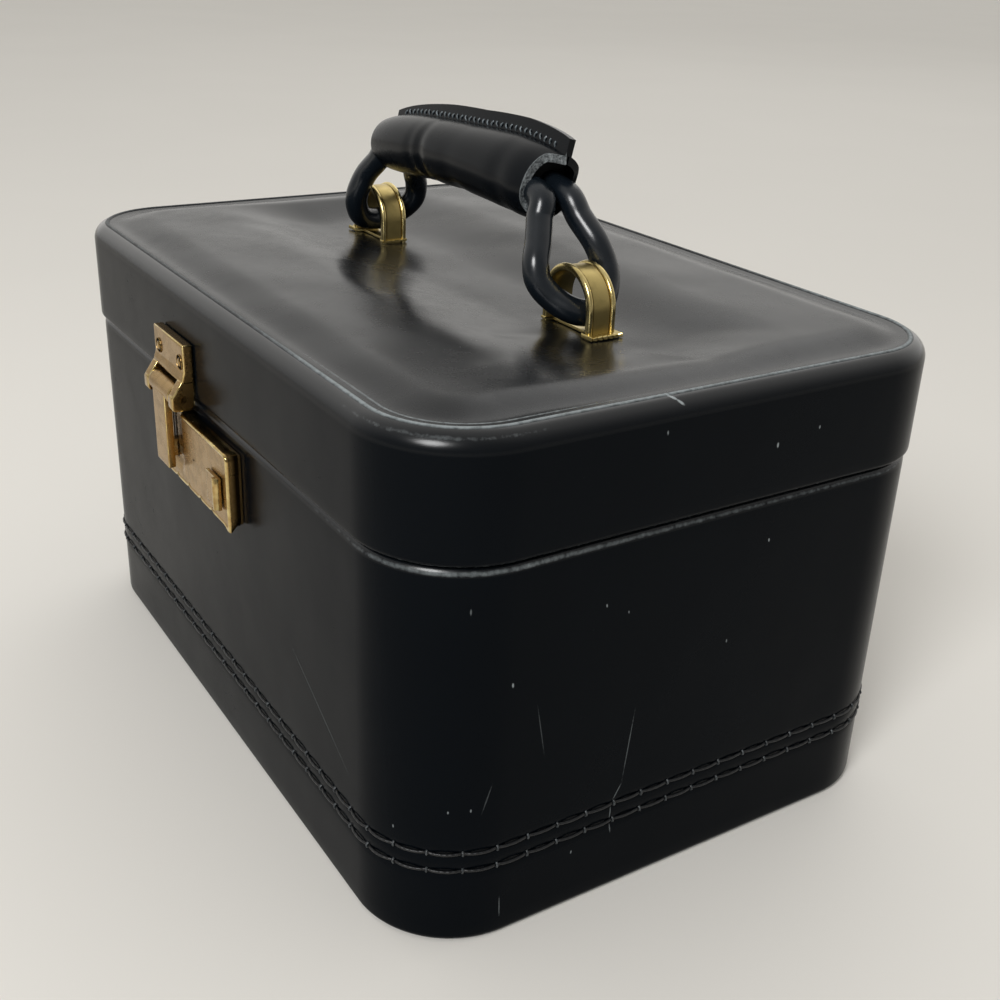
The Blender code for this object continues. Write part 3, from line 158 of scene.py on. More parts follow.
LOCK_EAR = (LOCK_CENTRE_X + LOCK_WIDTH / 2, LOCK_MIDDLE_Z - LOCK_HEIGHT / 2)

# Heights of the two stitch rows above and below the base seam
STITCH_ROWS = (0.0381, 0.0309)
# Heights at which the leather is drawn beside a stitch row
GROOVE_STEPS = (-0.0016, -0.0009, -0.0004, 0, 0.0004, 0.0009, 0.0016)

# Marks of use: the two ends of each scratch or speck, its half width and its strength
BODY_MARKS = (
    ((0.165, -0.0259, 0.0793), (0.165, -0.0296, 0.0429), 0.00030, 0.30),
    ((0.165, -0.0678, 0.0929), (0.165, -0.0631, 0.0678), 0.00030, 0.17),
    ((0.1646, -0.0827, 0.0667), (0.1638, -0.0866, 0.0532), 0.00035, 0.16),
    ((0.165, -0.0788, 0.0174), (0.165, -0.0784, 0.0070), 0.00035, 0.35),
    ((0.165, -0.0287, 0.0468), (0.165, -0.0332, 0.0386), 0.00035, 0.40),
    ((0.165, -0.0332, 0.0386), (0.165, -0.0333, 0.0303), 0.00035, 0.40),
    ((0.165, -0.0333, 0.0303), (0.165, -0.0323, 0.0245), 0.00035, 0.35),
    ((0.165, 0.0267, 0.1286), (0.165, 0.0268, 0.1276), 0.00050, 0.75),
    ((0.165, -0.0424, 0.1211), (0.165, -0.0422, 0.1202), 0.00045, 0.65),
    ((0.165, -0.0330, 0.1162), (0.165, -0.0329, 0.1153), 0.00040, 0.60),
    ((0.165, -0.0774, 0.1021), (0.165, -0.0773, 0.1008), 0.00060, 0.85),
    ((0.1619, -0.0918, 0.1310), (0.1619, -0.0918, 0.1290), 0.00045, 0.32),
    ((0.1594, -0.0966, 0.0557), (0.1594, -0.0966, 0.0549), 0.00045, 0.60),
    ((0.1627, -0.0899, 0.0561), (0.1627, -0.0899, 0.0552), 0.00045, 0.55),
    ((0.1457, -0.1095, 0.0460), (0.1457, -0.1095, 0.0450), 0.00045, 0.50),
    ((0.165, -0.0493, 0.0240), (0.165, -0.0494, 0.0230), 0.00045, 0.50),
    ((0.165, 0.0127, 0.0922), (0.165, 0.0127, 0.0911), 0.00045, 0.50),
    ((0.0658, -0.114, 0.0845), (0.1303, -0.114, 0.0473), 0.00040, 0.14),
)
LID_MARKS = (
    ((0.1596, -0.0230, 0.1881), (0.1614, -0.0214, 0.1877), 0.00075, 1.00),
    ((0.1610, -0.0218, 0.1878), (0.1632, -0.0198, 0.1868), 0.00080, 1.00),
    ((0.1630, -0.0200, 0.1869), (0.1647, -0.0182, 0.1853), 0.00080, 1.00),
    ((0.1662, -0.0391, 0.1858), (0.1662, -0.0391, 0.1850), 0.00055, 0.90),
    ((0.1662, -0.0250, 0.1783), (0.1662, -0.0249, 0.1771), 0.00050, 0.55),
    ((0.1662, 0.0234, 0.1653), (0.1662, 0.0234, 0.1641), 0.00060, 0.85),
    ((0.1662, 0.0421, 0.1682), (0.1662, 0.0421, 0.1674), 0.00050, 0.60),
)

# Leather of the grip, and its pinched folds: share of its half length, width in shares, depth and where
# round it they are deepest
SLEEVE = 0.0016
GRIP_STITCH_PITCH = 0.0033
GRIP_FOLDS = ((-0.30, 0.05, 0.0013, 200), (-0.42, 0.05, 0.0007, 210), (0.05, 0.09, 0.0005, 230),
              (0.62, 0.08, 0.0006, 190))

# How finely the pieces are drawn
CORNER_STEPS = 22
RUN = 0.006
STAPLE_STEPS = 36
CORD_SIDES = 20
LOCK_STEPS = 10
LOCK_RUN = 0.001
LINING_STEPS = 12
LINING_RUN = 0.01
LINING_FLAT = 0.02
# A face whose area over the length of its outline is more than this gets a loop just inside its edges
BROAD_FACE = 0.0012
# The corners of a rounded rectangle, in the order in which its outline runs
QUARTERS = ((1, 1), (-1, 1), (-1, -1), (1, -1))
# Points of the sleeve's section where its cut ends are pale
GRIP_CUT_COLUMNS = range(28, 60)

# Camera of the photograph: place, lens, and its turn, rise and roll in degrees
CAMERA_PLACE = (0.4421, -0.2660, 0.3192)
CAMERA_LENS = 45.33
CAMERA_TURNS = (56.86, 24.67, 2.36)


def linear(code):
    """Turn an sRGB hex colour to linear red, green and blue."""
    shares = [int(code[place:place + 2], 16) / 255 for place in (0, 2, 4)]
    return tuple(share / 12.92 if share <= 0.04045 else ((share + 0.055) / 1.055) ** 2.4
                 for share in shares)


# Settings that a user would change
def colour_setting(name, code, description):
    """A colour, given as an sRGB hex colour."""
    return bpy.props.FloatVectorProperty(name=name, description=description, subtype="COLOR", min=0, max=1,
                                         default=linear(code))


def share_setting(name, share, description):
    """A number from 0 to 1."""
    return bpy.props.FloatProperty(name=name, description=description, subtype="FACTOR", min=0, max=1,
                                   default=share)


def length_setting(name, length, description, least=0.0):
    """A length in metres."""
    return bpy.props.FloatProperty(name=name, description=description, unit="LENGTH", min=least,
                                   default=length)


class LeatherSettings(bpy.types.PropertyGroup):
    """Coated leather that covers the case."""
    colour: colour_setting("Leather colour", "05080C", "Colour of the coated leather")
    # Pale colour of rubbed-through coat, also used as a painted highlight on the rim lip and shoulder
    worn_and_highlight_colour: colour_setting("Worn colour", "8F9698", "Colour where the coat is rubbed through")
    roughness: share_setting("Leather roughness", 0.24, "How dull the coated leather is")
    wave_depth: length_setting("Unevenness", 0.0005, "Depth of the soft waves over the boards")
    wave_length: length_setting("Wave length", 0.042, "Width of one soft wave", 0.005)
    grain_size: length_setting("Grain size", 0.0012, "Width of one cell of the leather's grain", 0.0003)


class StitchSettings(bpy.types.PropertyGroup):
    """Two rows of saddle stitching round the base."""
    pitch: length_setting("Stitch pitch", 0.0121, "Distance from one stitch to the next", 0.003)
    thread_radius: length_setting("Thread radius", 0.00055, "Half the thickness of the thread", 0.0002)
    colour: colour_setting("Thread colour", "090C10", "Colour of the waxed thread")
    # Thread ends are paler than the thread: a painted highlight where they catch the light
    knot_colour: colour_setting("Thread end colour", "363B3E", "Colour of the thread where it dips in")


class BrassSettings(bpy.types.PropertyGroup):
    """Gilt brass of the latch, staples and hinges."""
    colour: colour_setting("Brass colour", "A28453", "Colour of the gilt brass")
    # Pale rim colour: partly rubbed brass, partly a painted highlight on the rims
    rubbed_and_highlight_colour: colour_setting("Rubbed brass colour", "E2CF92", "Colour where hands keep it bright")
    tarnish: colour_setting("Tarnish colour", "4E3D24", "Colour of the brass where it has darkened")
    roughness: share_setting("Brass roughness", 0.20, "How dull the brass is")


class LiningSettings(bpy.types.PropertyGroup):
    """Rayon lining and its padding."""
    colour: colour_setting("Lining colour", "6E5C52", "Colour of the rayon lining")
    gathers: bpy.props.IntProperty(
        name="Pocket gathers", description="Folds across the gathered pocket", min=4, max=80, default=26)


class StageSettings(bpy.types.PropertyGroup):
    """Floor, lamps and surroundings of the picture."""
    floor_colour: colour_setting("Floor colour", "E6E3DD", "Colour of the plain floor")
    lamp_power: bpy.props.FloatProperty(
        name="Lamp power", description="Power of the soft main lamp", unit="POWER", min=0, default=30)


# Small helpers
def wire(tree, item, inputs):
    """Give a node's inputs, by name or in order, values or links. A node stands for its first output."""
    for name, value in inputs.items() if isinstance(inputs, dict) else enumerate(inputs):
        socket = item.inputs[name]
        if isinstance(value, bpy.types.Node):
            value = value.outputs[0]
        if isinstance(value, bpy.types.NodeSocket):
            tree.links.new(value, socket)
        else:
            socket.default_value = (*value, 1) if socket.type == "RGBA" else value


def add_node(tree, kind, inputs=(), **settings):
    """Add a shader node with its settings, and give its inputs values or links."""
    item = tree.nodes.new("ShaderNode" + kind)
    for name, value in settings.items():
        setattr(item, name, value)
    wire(tree, item, inputs)
    return item


def start_material(name):
    """A new material, what adds its nodes, what wires its shader, and each point's place in the frame."""
    material = bpy.data.materials.new(name)
    material.use_nodes = True
    tree = material.node_tree
    add = partial(add_node, tree)
    finish = partial(wire, tree, tree.nodes["Principled BSDF"])
    return material, add, finish, add("TexCoord").outputs["Object"]


def tinted(colour, share):
    """A colour made darker or paler."""
    return [value * share for value in colour]


def arc(centre, radius, start, end, steps):
    """Points of an arc from one angle to another, ends included."""
    turns = [start + (end - start) * step / steps for step in range(steps + 1)]
    return [(centre[0] + radius * math.cos(turn), centre[1] + radius * math.sin(turn)) for turn in turns]


def ring(size, inset, steps=CORNER_STEPS, run=RUN):
    """Points of a rounded rectangle drawn in by an inset, with its straight sides divided too."""
    width, depth, corner = size
    corners = []
    for quarter, (side_x, side_y) in enumerate(QUARTERS):
        centre = (side_x * (width / 2 - corner), side_y * (depth / 2 - corner))
        start = quarter * math.pi / 2
        corners.append(arc(centre, corner - inset, start, start + math.pi / 2, steps))
    points = []
    for quarter, corner_points in enumerate(corners):
        points += corner_points
        start = np.array(corner_points[-1])
        end = np.array(corners[(quarter + 1) % 4][0])
        straight = (width if quarter % 2 == 0 else depth) - 2 * corner
        count = max(1, round(straight / run))
        points += [tuple(start + (end - start) * step / count) for step in range(1, count)]
    return np.array(points)


def wrap_rows(size, profile, steps=CORNER_STEPS, run=RUN):
    """Rows of points that carry a profile of (inset, height) round a rounded rectangle."""
    rows = []
    for inset, height in profile:
        outline = ring(size, inset, steps, run)
        rows.append(np.column_stack([outline, np.full(len(outline), height)]))
    return np.array(rows)


def spread_rows(outline, shares, height):
    """Rows of points from the middle of an outline out to it, with heights from a function of x and y."""
    x, y = (outline[:, axis] * shares[:, None] for axis in (0, 1))
    return np.dstack([x, y, height(x, y)])


def loft(rows, closed=False):
    """Points and faces that join rows of points, each row a closed loop. Open rows are capped."""
    rows = np.asarray(rows, float)
    count, around = rows.shape[:2]
    faces = []
    pairs = [(low, low + 1) for low in range(count - 1)] + ([(count - 1, 0)] if closed else [])
    for low, high in pairs:
        for here in range(around):
            after = (here + 1) % around
            faces.append((low * around + here, low * around + after, high * around + after,
                          high * around + here))
    if not closed:
        faces.append(tuple(reversed(range(around))))
        faces.append(tuple(range((count - 1) * around, count * around)))
    return rows.reshape(-1, 3), faces


def make_mesh(name, parts, sharp=None, wear=None):
    """One mesh from several lots of points and faces, with its faces pointing out."""
    points = []
    faces = []
    for part_points, part_faces in parts:
        shift = len(points)
        points += [tuple(float(value) for value in point) for point in part_points]
        faces += [tuple(int(corner) + shift for corner in face) for face in part_faces]
    mesh = bpy.data.meshes.new(name)
    mesh.from_pydata(points, [], faces)
    work = bmesh.new()
    work.from_mesh(mesh)
    bmesh.ops.recalc_face_normals(work, faces=work.faces)
    work.to_mesh(mesh)
    work.free()
    mesh.shade_smooth()
    if sharp:
        mesh.set_sharp_from_angle(angle=math.radians(sharp))
    if wear is not None:
        # This attribute holds how rubbed each point is, and on some pieces also where a painted highlight
        # or painted shade goes
        layer = mesh.attributes.new("wear", "FLOAT", "POINT")
        layer.data.foreach_set("value", np.asarray(wear, np.float32).reshape(-1))
    return mesh


def put(name, parts, look, body, slot, replaces=(), **finish):
    """Place one finished piece of a body, from a mesh or from lots of points and faces."""
    mesh = parts if isinstance(parts, bpy.types.Mesh) else make_mesh(name, parts, **finish)
    piece = bpy.data.objects.new(name, mesh)
    bpy.context.collection.objects.link(piece)
    mesh.materials.append(look)
    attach(piece, body)
    if replaces:
        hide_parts(*replaces)
    return piece


def tube_rows(points, radius, sides, closed=False):
    """Rows of a round tube along points, turned as little as possible from one to the next."""
    points = np.asarray([tuple(point) for point in points], float)
    count = len(points)
    runs = np.roll(points, -1, 0) - np.roll(points, 1, 0) if closed else np.gradient(points, axis=0)
    runs /= np.linalg.norm(runs, axis=1)[:, None]
    side = np.cross(runs[0], (0.31, 0.17, 0.93))
    outward = [side / np.linalg.norm(side)]
    for place in range(1, count + (1 if closed else 0)):
        turn = Vector(runs[place - 1]).rotation_difference(Vector(runs[place % count])).to_matrix()
        outward.append(np.array(turn @ Vector(outward[-1])))
    twist = 0
    if closed:
        last = outward.pop()
        twist = -math.atan2(last @ np.cross(runs[0], outward[0]), last @ outward[0])
    rows = []
    for place, (point, run, first) in enumerate(zip(points, runs, outward)):
        turns = 2 * math.pi * np.arange(sides) / sides + twist * place / count
        circle = np.outer(np.cos(turns), first) + np.outer(np.sin(turns), np.cross(run, first))
        rows.append(point + radius * circle)
    return np.array(rows)


def ramp(value):
    """Rise smoothly from 0 to 1."""
    value = np.clip(value, 0, 1)
    return value * value * (3 - 2 * value)


def bell(distance, width):
    """A soft bump: 1 in the middle, next to nothing at twice its width."""
    return np.exp(-(np.asarray(distance) / width) ** 2)


def open_solid(points, faces):
    """Points and faces opened for modelling, with the faces pointing out."""
    work = bmesh.new()
    corners = [work.verts.new(tuple(point)) for point in points]
    for face in faces:
        work.faces.new([corners[place] for place in face])
    bmesh.ops.recalc_face_normals(work, faces=work.faces)
    return work


def bevelled(parts, width, steps=2, angle=30):
    """A lot of points and faces with its sharp edges rounded."""
    work = open_solid(*parts)
    edges = [edge for edge in work.edges
             if len(edge.link_faces) == 2 and edge.calc_face_angle() > math.radians(angle)]
    bmesh.ops.bevel(work, geom=edges, offset=width, segments=steps, profile=0.5, affect="EDGES",
                    clamp_overlap=True)
    # A loop of points just inside each broad face, so that what its edges carry stays at its edges
    broad = [face for face in work.faces if face.calc_area() > BROAD_FACE * face.calc_perimeter()]
    bmesh.ops.inset_individual(work, faces=broad, thickness=BROAD_FACE / 2, use_even_offset=True)
    work.verts.index_update()
    result = ([tuple(corner.co) for corner in work.verts],
              [tuple(corner.index for corner in face.verts) for face in work.faces])
    work.free()
    return result


def rubbed_and_highlit_edges(parts):
    """How rubbed each point is: its sharper corners are bright, partly rubbed and partly a painted
    highlight, its faces plain.
    """
    work = open_solid(*parts)
    bends = []
    for corner in work.verts:
        bend = max((edge.calc_face_angle(0) for edge in corner.link_edges if len(edge.link_faces) == 2),
                   default=0)
        bends.append(0.5 + 0.5 * float(ramp((math.degrees(bend) - 12) / 20)))
    work.free()
    return bends


def block(low, high):
    """Points and faces of a box between two corners."""
    (x0, y0, z0), (x1, y1, z1) = low, high
    return loft([[(x0, y0, z), (x1, y0, z), (x1, y1, z), (x0, y1, z)] for z in (z0, z1)])


# Materials
def coated_leather(settings, name, marks=(), wear=1.0, roughness=None, waves=1.0, reflection=0.04,
                   polished=None):
    """Vinyl-coated cowhide, pressed smooth: near black with a soft sheen, shallow waves over the
    boards, a fine pressed grain, duller rubbed patches and grey where the coat is worn through.
    Between the two polished heights the coat comes up to a full shine, as on edges that hands rub."""
    material, add, finish, place = start_material(name)
    # Large soft patches: the coat is handled in some places more than in others
    patches = add("TexNoise", {"Vector": place, "Scale": 1 / 0.035, "Detail": 3.0})
    smear = add("TexNoise", {"Vector": place, "Scale": 1 / 0.006, "Detail": 4.0, "Roughness": 0.65})
    both = add("Math", [patches, smear], operation="MULTIPLY")
    base = settings.roughness if roughness is None else roughness
    dull = add("MapRange", [both, 0.12, 0.42, base - 0.02, base + 0.035])
    shade = add("MixRGB", [patches, settings.colour, tinted(settings.colour, 1.3)])
    # Rubbed crests: the vertices carry how exposed each place is, and a fine noise breaks it up. On the
    # body's rim lip and the lid's shoulder the pale colour is also a painted highlight
    exposed = add("Attribute", attribute_name="wear").outputs["Fac"]
    flecks = add("TexNoise", {"Vector": place, "Scale": 1 / 0.0022, "Detail": 5.0, "Roughness": 0.7})
    rubbed = add("Math", [exposed, flecks], operation="MULTIPLY")
    mask = add("MapRange", [rubbed, 0.14, 0.62, 0.0, wear])
    for start, end, half_width, strength in marks:
        # One scratch or scuff: a thin ellipsoid of paler, duller coat from one point to another
        run = Vector(end) - Vector(start)
        local = add("Mapping", {"Vector": place, "Location": Vector(start) + run / 2,
                                "Rotation": run.to_track_quat("X", "Z").to_euler(),
                                "Scale": (run.length / 2 + half_width, half_width, half_width)},
                    vector_type="TEXTURE")
        away = add("VectorMath", [local], operation="LENGTH").outputs["Value"]
        broken = add("Math", [away, flecks], operation="ADD")
        scratch = add("MapRange", [broken, 0.9, 1.35, strength, 0.0])
        mask = add("Math", [mask, scratch], operation="MAXIMUM")
    rough = add("MapRange", [mask, 0.0, 1.0, 0.0, 0.30])
    # Relief: waves a few centimetres long, then pressed grain of about a millimetre
    swell = add("TexNoise", {"Vector": place, "Scale": 1 / settings.wave_length, "Detail": 1.5})
    wavy = add("Bump", {"Height": swell, "Strength": 1.0, "Distance": settings.wave_depth * waves})
    cells = add("TexVoronoi", {"Vector": place, "Scale": 1 / settings.grain_size}, feature="SMOOTH_F1")
    grain = add("Bump", {"Height": cells, "Strength": 0.06, "Distance": 0.0001, "Normal": wavy})
    finish({"Base Color": add("MixRGB", [mask, shade, settings.worn_and_highlight_colour]),
            "Roughness": add("Math", [dull, rough], operation="ADD"),
            "Normal": grain, "IOR": 1.5, "Specular IOR Level": reflection})
    if polished:
        height = add("SeparateXYZ", [place]).outputs["Z"]
        finish({"Coat Weight": add("MapRange", [height, *polished, 0.0, 0.9]), "Coat Roughness": base})
    return material


def cut_leather_edge(name):
    """Raw cut edge of the leather: fibrous, pale where the dye has worn off, quite dull."""
    material, add, finish, place = start_material(name)
    fibres = add("TexNoise", {"Vector": place, "Scale": 1 / 0.0012, "Detail": 6.0, "Roughness": 0.7})
    pale = add("MapRange", [fibres, 0.42, 0.66])
    finish({"Base Color": add("MixRGB", [pale, linear("24282C"), linear("8C9294")]), "Roughness": 0.6,
            "Normal": add("Bump", {"Height": fibres, "Strength": 0.6, "Distance": 0.0004})})
    return material


def waxed_thread(name, colour):
    """Twisted linen thread, waxed: dark with a slight sheen and slanting plies."""
    material, add, finish, place = start_material(name)
    # Plies slant across the thread about 0.7 mm apart
    plies = add("TexWave", {"Vector": place, "Scale": 1 / 0.0044, "Distortion": 1.0, "Detail": 1.0},
                bands_direction="DIAGONAL").outputs["Fac"]
    finish({"Base Color": add("MixRGB", [plies, colour, tinted(colour, 0.5)]), "Roughness": 0.42,
            "Normal": add("Bump", {"Height": plies, "Strength": 0.5, "Distance": 0.0002})})
    return material


def vinyl_cord(name):
    """Rope core in an extruded vinyl skin: glossy blue-black with long soft highlights."""
    material, add, finish, place = start_material(name)
    smudges = add("TexNoise", {"Vector": place, "Scale": 1 / 0.009, "Detail": 4.0})
    finish({"Base Color": add("MixRGB", [smudges, linear("0B1015"), linear("141B22")]),
            "Roughness": add("MapRange", [smudges, 0.3, 0.7, 0.20, 0.30]), "IOR": 1.53,
            "Normal": add("Bump", {"Height": smudges, "Strength": 0.3, "Distance": 0.0004})})
    return material


def gilt_brass(settings, name, tarnished=0.35, roughness=None, handled=False, dents=0.0, colour=None):
    """Brass pressed from sheet and gilt: warm metal, paler on the rims that hands rub and there also a
    painted highlight, with brown tarnish in soft patches, a near-black painted shade in the grooves and on
    dim walls, fine wiping scratches and shallow dents."""
    material, add, finish, place = start_material(name)
    stains = add("TexNoise", {"Vector": place, "Scale": 1 / 0.006, "Detail": 5.0, "Roughness": 0.6})
    amount = add("MapRange", [stains, 0.45, 0.75, 0.0, tarnished])
    tone = add("MixRGB", [amount, colour or settings.colour, settings.tarnish])
    base = settings.roughness if roughness is None else roughness
    rough = add("MapRange", [stains, 0.3, 0.7, base - 0.04, base + 0.08])
    if handled:
        # The vertices carry how rubbed each place is: 0 in grooves, 0.5 on plain faces, 1 on rims.
        #         # Low values mix in a near-black that is painted shade; high values mix in a pale colour
        #         that is partly
        #         # rubbed brass and partly a painted highlight
        exposed = add("Attribute", attribute_name="wear").outputs["Fac"]
        deep = add("MapRange", [exposed, 0.05, 0.40, 1.0, 0.0])
        uneven = add("Math", [exposed, stains], operation="MULTIPLY")
        bright = add("MapRange", [uneven, 0.32, 0.62])
        shaded = add("MixRGB", [deep, tone, tinted(settings.tarnish, 0.2)])
        tone = add("MixRGB", [bright, shaded, settings.rubbed_and_highlight_colour])
        polish = add("MapRange", [exposed, 0.4, 1.0, 0.08, -0.08])
        rough = add("Math", [rough, polish], operation="ADD")
    stretched = add("Mapping", {"Vector": place, "Scale": (1, 1, 0.08)})
    # Wiping scratches are finer than a pixel, so they are drawn 0.3 mm apart
    wiped = add("TexNoise", {"Vector": stretched, "Scale": 1 / 0.0003, "Detail": 2.0})
    bump = add("Bump", {"Height": wiped, "Strength": 0.08, "Distance": 0.0001})
    if dents:
        # Thin sheet takes shallow dents about 5 mm across, which break up what it reflects
        knocks = add("TexNoise", {"Vector": place, "Scale": 1 / 0.005, "Detail": 2.0})
        bump = add("Bump", {"Height": knocks, "Strength": 1.0, "Distance": dents, "Normal": bump})
    finish({"Base Color": tone, "Roughness": rough, "Normal": bump, "Metallic": 1.0})
    return material


def plated_steel(name):
    """Nickel-plated steel wire and sheet: cool grey metal with a slightly cloudy plating."""
    material, add, finish, place = start_material(name)
    cloud = add("TexNoise", {"Vector": place, "Scale": 1 / 0.002, "Detail": 4.0})
    finish({"Base Color": add("MixRGB", [cloud, linear("8F9092"), linear("B9BABA")]), "Metallic": 1.0,
            "Roughness": add("MapRange", [cloud, 0.0, 1.0, 0.22, 0.42])})
    return material


def silvered_glass(name):
    """Float glass silvered on its back: a clear mirror with the faintest haze."""
    material, add, finish, place = start_material(name)
    haze = add("TexNoise", {"Vector": place, "Scale": 1 / 0.03, "Detail": 4.0})
    finish({"Base Color": linear("DCE1E0"), "Metallic": 1.0,
            "Roughness": add("MapRange", [haze, 0.4, 0.8, 0.02, 0.08])})
    return material


def mottled(name, size, dark, pale, roughness):
    """A matt material whose fibres or clumps, of a given size, go from a dark colour to a pale one."""
    material, add, finish, place = start_material(name)
    clumps = add("TexNoise", {"Vector": place, "Scale": 1 / size, "Detail": 6.0})
    finish({"Base Color": add("MixRGB", [clumps, linear(dark), linear(pale)]), "Roughness": roughness})
    return material


def rayon_lining(settings, name):
    """Rayon taffeta, plain woven: a fine crossing weave with a silky sheen along its folds."""
    material, add, finish, place = start_material(name)
    # Real threads lie 0.25 mm apart, too fine to show, so they are drawn 0.6 mm apart
    warp, weft, cross = (add("TexWave", {"Vector": place, "Scale": 1 / 0.0038, "Distortion": 0.4},
                             bands_direction=way).outputs["Fac"] for way in "XZY")
    pair = add("Math", [warp, weft], operation="MULTIPLY")
    threads = add("Math", [pair, cross], operation="MAXIMUM")
    patches = add("TexNoise", {"Vector": place, "Scale": 1 / 0.02, "Detail": 3.0})
    dark, pale = tinted(settings.colour, 0.8), tinted(settings.colour, 1.2)
    finish({"Base Color": add("MixRGB", [patches, dark, pale]),
            "Normal": add("Bump", {"Height": threads, "Strength": 0.25, "Distance": 0.0001}),
            "Roughness": 0.55, "Sheen Weight": 0.3})
    return material


# Shapes of the leather skin
def panel_edge_distance(x, y):
    """How far points of the lid's top lie inside the edge of the leather panel."""
    width, depth, corner = LID_SIZE
    beyond_x = np.abs(x) - (width / 2 - corner)
    beyond_y = np.abs(y) - (depth / 2 - corner)
    outside = np.hypot(np.maximum(beyond_x, 0), np.maximum(beyond_y, 0))
    inside = np.minimum(np.maximum(beyond_x, beyond_y), 0)
    return corner - PANEL_INSET - outside - inside


def panel_height(x, y):
    """Top of the leather panel at points: swollen inside the welt and sunk under the handle."""
    swell = CROWN * ramp(panel_edge_distance(x, y) / CROWN_REACH)
    across = 1 - ramp((np.abs(y) - SAG_HALF_WIDTH) / SAG_FADE)
    along = 1 - ramp((np.abs(x) - SAG_HALF_LENGTH) / SAG_FADE)
    return PANEL_EDGE + swell - SAG * across * along


# Soft creases of the lid's top: ends of each in plan, width and depth
PANEL_CREASES = (
    ((0.060, -0.030), (0.120, -0.062), 0.007, 0.00045),
    ((-0.060, -0.024), (-0.115, -0.060), 0.008, 0.00040),
    ((-0.105, 0.010), (-0.140, 0.030), 0.006, 0.00035),
    ((0.100, 0.006), (0.146, 0.012), 0.006, 0.00045),
    ((0.095, 0.020), (0.130, 0.055), 0.007, 0.00035),
    ((-0.030, -0.040), (0.030, -0.052), 0.009, 0.00035),
    ((-0.040, 0.044), (0.050, 0.050), 0.010, 0.00035),
    ((0.080, -0.012), (0.084, -0.040), 0.004, 0.00040),
)


def panel_detail(x, y):
    """Creases, dents round the staples' feet and small hollows of the panel."""
    drop = np.zeros_like(x)
    for start, end, width, depth in PANEL_CREASES:
        start = np.array(start)
        run = np.array(end) - start
        share = np.clip(((x - start[0]) * run[0] + (y - start[1]) * run[1]) / (run @ run), 0, 1)
        away = np.hypot(x - start[0] - share * run[0], y - start[1] - share * run[1])
        drop += depth * bell(away, width) * ramp(4 * share * (1 - share) + 0.2)
    for side in (-1, 1):
        for foot in (-1, 1):
            away = np.hypot(x - side * STAPLE_X - foot * STAPLE_OUTER, y - HANDLE_AXIS.y)
            drop += 0.0005 * bell(away, 0.006)
    drop += 0.00018 * np.sin(x * 95 + 1.3) * np.sin(y * 120 + 0.4)
    inside = panel_edge_distance(x, y)
    fade = ramp((inside - 0.002) / 0.012)
    # The leather is drawn up over the welt's inner side
    return PANEL_LIFT * bell(inside, 0.0032) - drop * fade


def near_corner(x, y):
    """How close points lie to the corner between the front and the right end, from 0 to 1."""
    return bell(np.hypot(x - CASE_SIZE[0] / 2 + 0.012, y - CASE_FRONT - 0.012), 0.075)


def groove(height):
    """How far the leather is drawn in beside a stitch row."""
    return sum(0.00055 * float(bell(height - row, 0.0011)) for row in STITCH_ROWS)


class VANITY_OT_body_skin(bpy.types.Operator):
    """Leather of the body: the wrap with its turned rim and the base below it."""
    bl_idname = "vanity_case.body_skin"
    bl_label = "Body leather"

    def execute(self, context):
        rim = RIM_HEIGHT - RIM_ROUND
        look = coated_leather(context.scene.vanity_leather, "coated_leather_body", BODY_MARKS,
                              polished=(rim, RIM_HEIGHT - 0.3 * RIM_ROUND))
        upper, lower = STITCH_ROWS
        heights = [BASE_SEAM, BASE_SEAM + 0.0012, *(upper + step for step in GROOVE_STEPS), upper + 0.003,
                   *np.linspace(upper + 0.008, rim, 16)]
        profile = [(groove(height), height) for height in heights]
        profile += arc((RIM_ROUND, rim), RIM_ROUND, math.pi, math.pi / 2, 12)[1:]
        profile += arc((TURN_IN - EDGE_ROUND, RIM_HEIGHT - EDGE_ROUND), EDGE_ROUND, math.pi / 2, 0, 6)
        profile += [(TURN_IN, RIM_HEIGHT - TURN_DEPTH), (SKIN_OUT, RIM_HEIGHT - TURN_DEPTH),
                    (SKIN_OUT, RIM_HEIGHT - LEATHER), (LEATHER, RIM_HEIGHT - LEATHER), (LEATHER, BASE_SEAM)]
        rows = wrap_rows(CASE_SIZE, profile)
        x, y, z = rows.reshape(-1, 3).T
        # Pale band on the rim's lip: partly rubbed coat, partly a painted highlight that is strongest at
        # the front right corner and along the right end
        lip_wear_and_highlight = bell(z - RIM_HEIGHT + 0.0022, 0.0009)
        right = ramp((x - CASE_SIZE[0] / 2 + 0.040) / 0.03)
        put("body_wrap", [loft(rows, closed=True)], look, "case_body", "leather", ["body_leather"],
            sharp=50, wear=lip_wear_and_highlight * (0.14 + 0.26 * right + 0.26 * near_corner(x, y)))

        cup = [(0.030, 0.0)] + arc((BASE_ROUND, BASE_ROUND), BASE_ROUND, 1.5 * math.pi, math.pi, 6)
        heights = [0.008, 0.015, 0.022, 0.027, *(lower + step for step in GROOVE_STEPS), BASE_SEAM]
        cup += [(groove(height), height) for height in heights]
        cup += [(LEATHER, BASE_SEAM), (LEATHER, BASE_ROUND)]
        rows = wrap_rows(CASE_SIZE, cup)
        put("base_wrap", [loft(rows)], look, "case_body", "leather", ["base_leather"], sharp=50,
            wear=bell(rows[:, :, 2], 0.0025) * 0.5)
        return {"FINISHED"}


def outline_place(size, distance):
    """The point and outward direction at a distance round a rounded rectangle."""
    width, depth, corner = size
    straights = (width - 2 * corner, depth - 2 * corner)
    turn = math.pi / 2 * corner
    for quarter, (side_x, side_y) in enumerate(QUARTERS):
        centre = Vector((side_x * (width / 2 - corner), side_y * (depth / 2 - corner), 0))
        angle = quarter * math.pi / 2 + min(distance, turn) / corner
        out = Vector((math.cos(angle), math.sin(angle), 0))
        distance -= turn
        if distance < straights[quarter % 2]:
            ahead = Vector((-out.y, out.x, 0)) * max(distance, 0)
            return centre + out * corner + ahead, out
        distance -= straights[quarter % 2]
    raise ValueError("distance lies outside the outline")


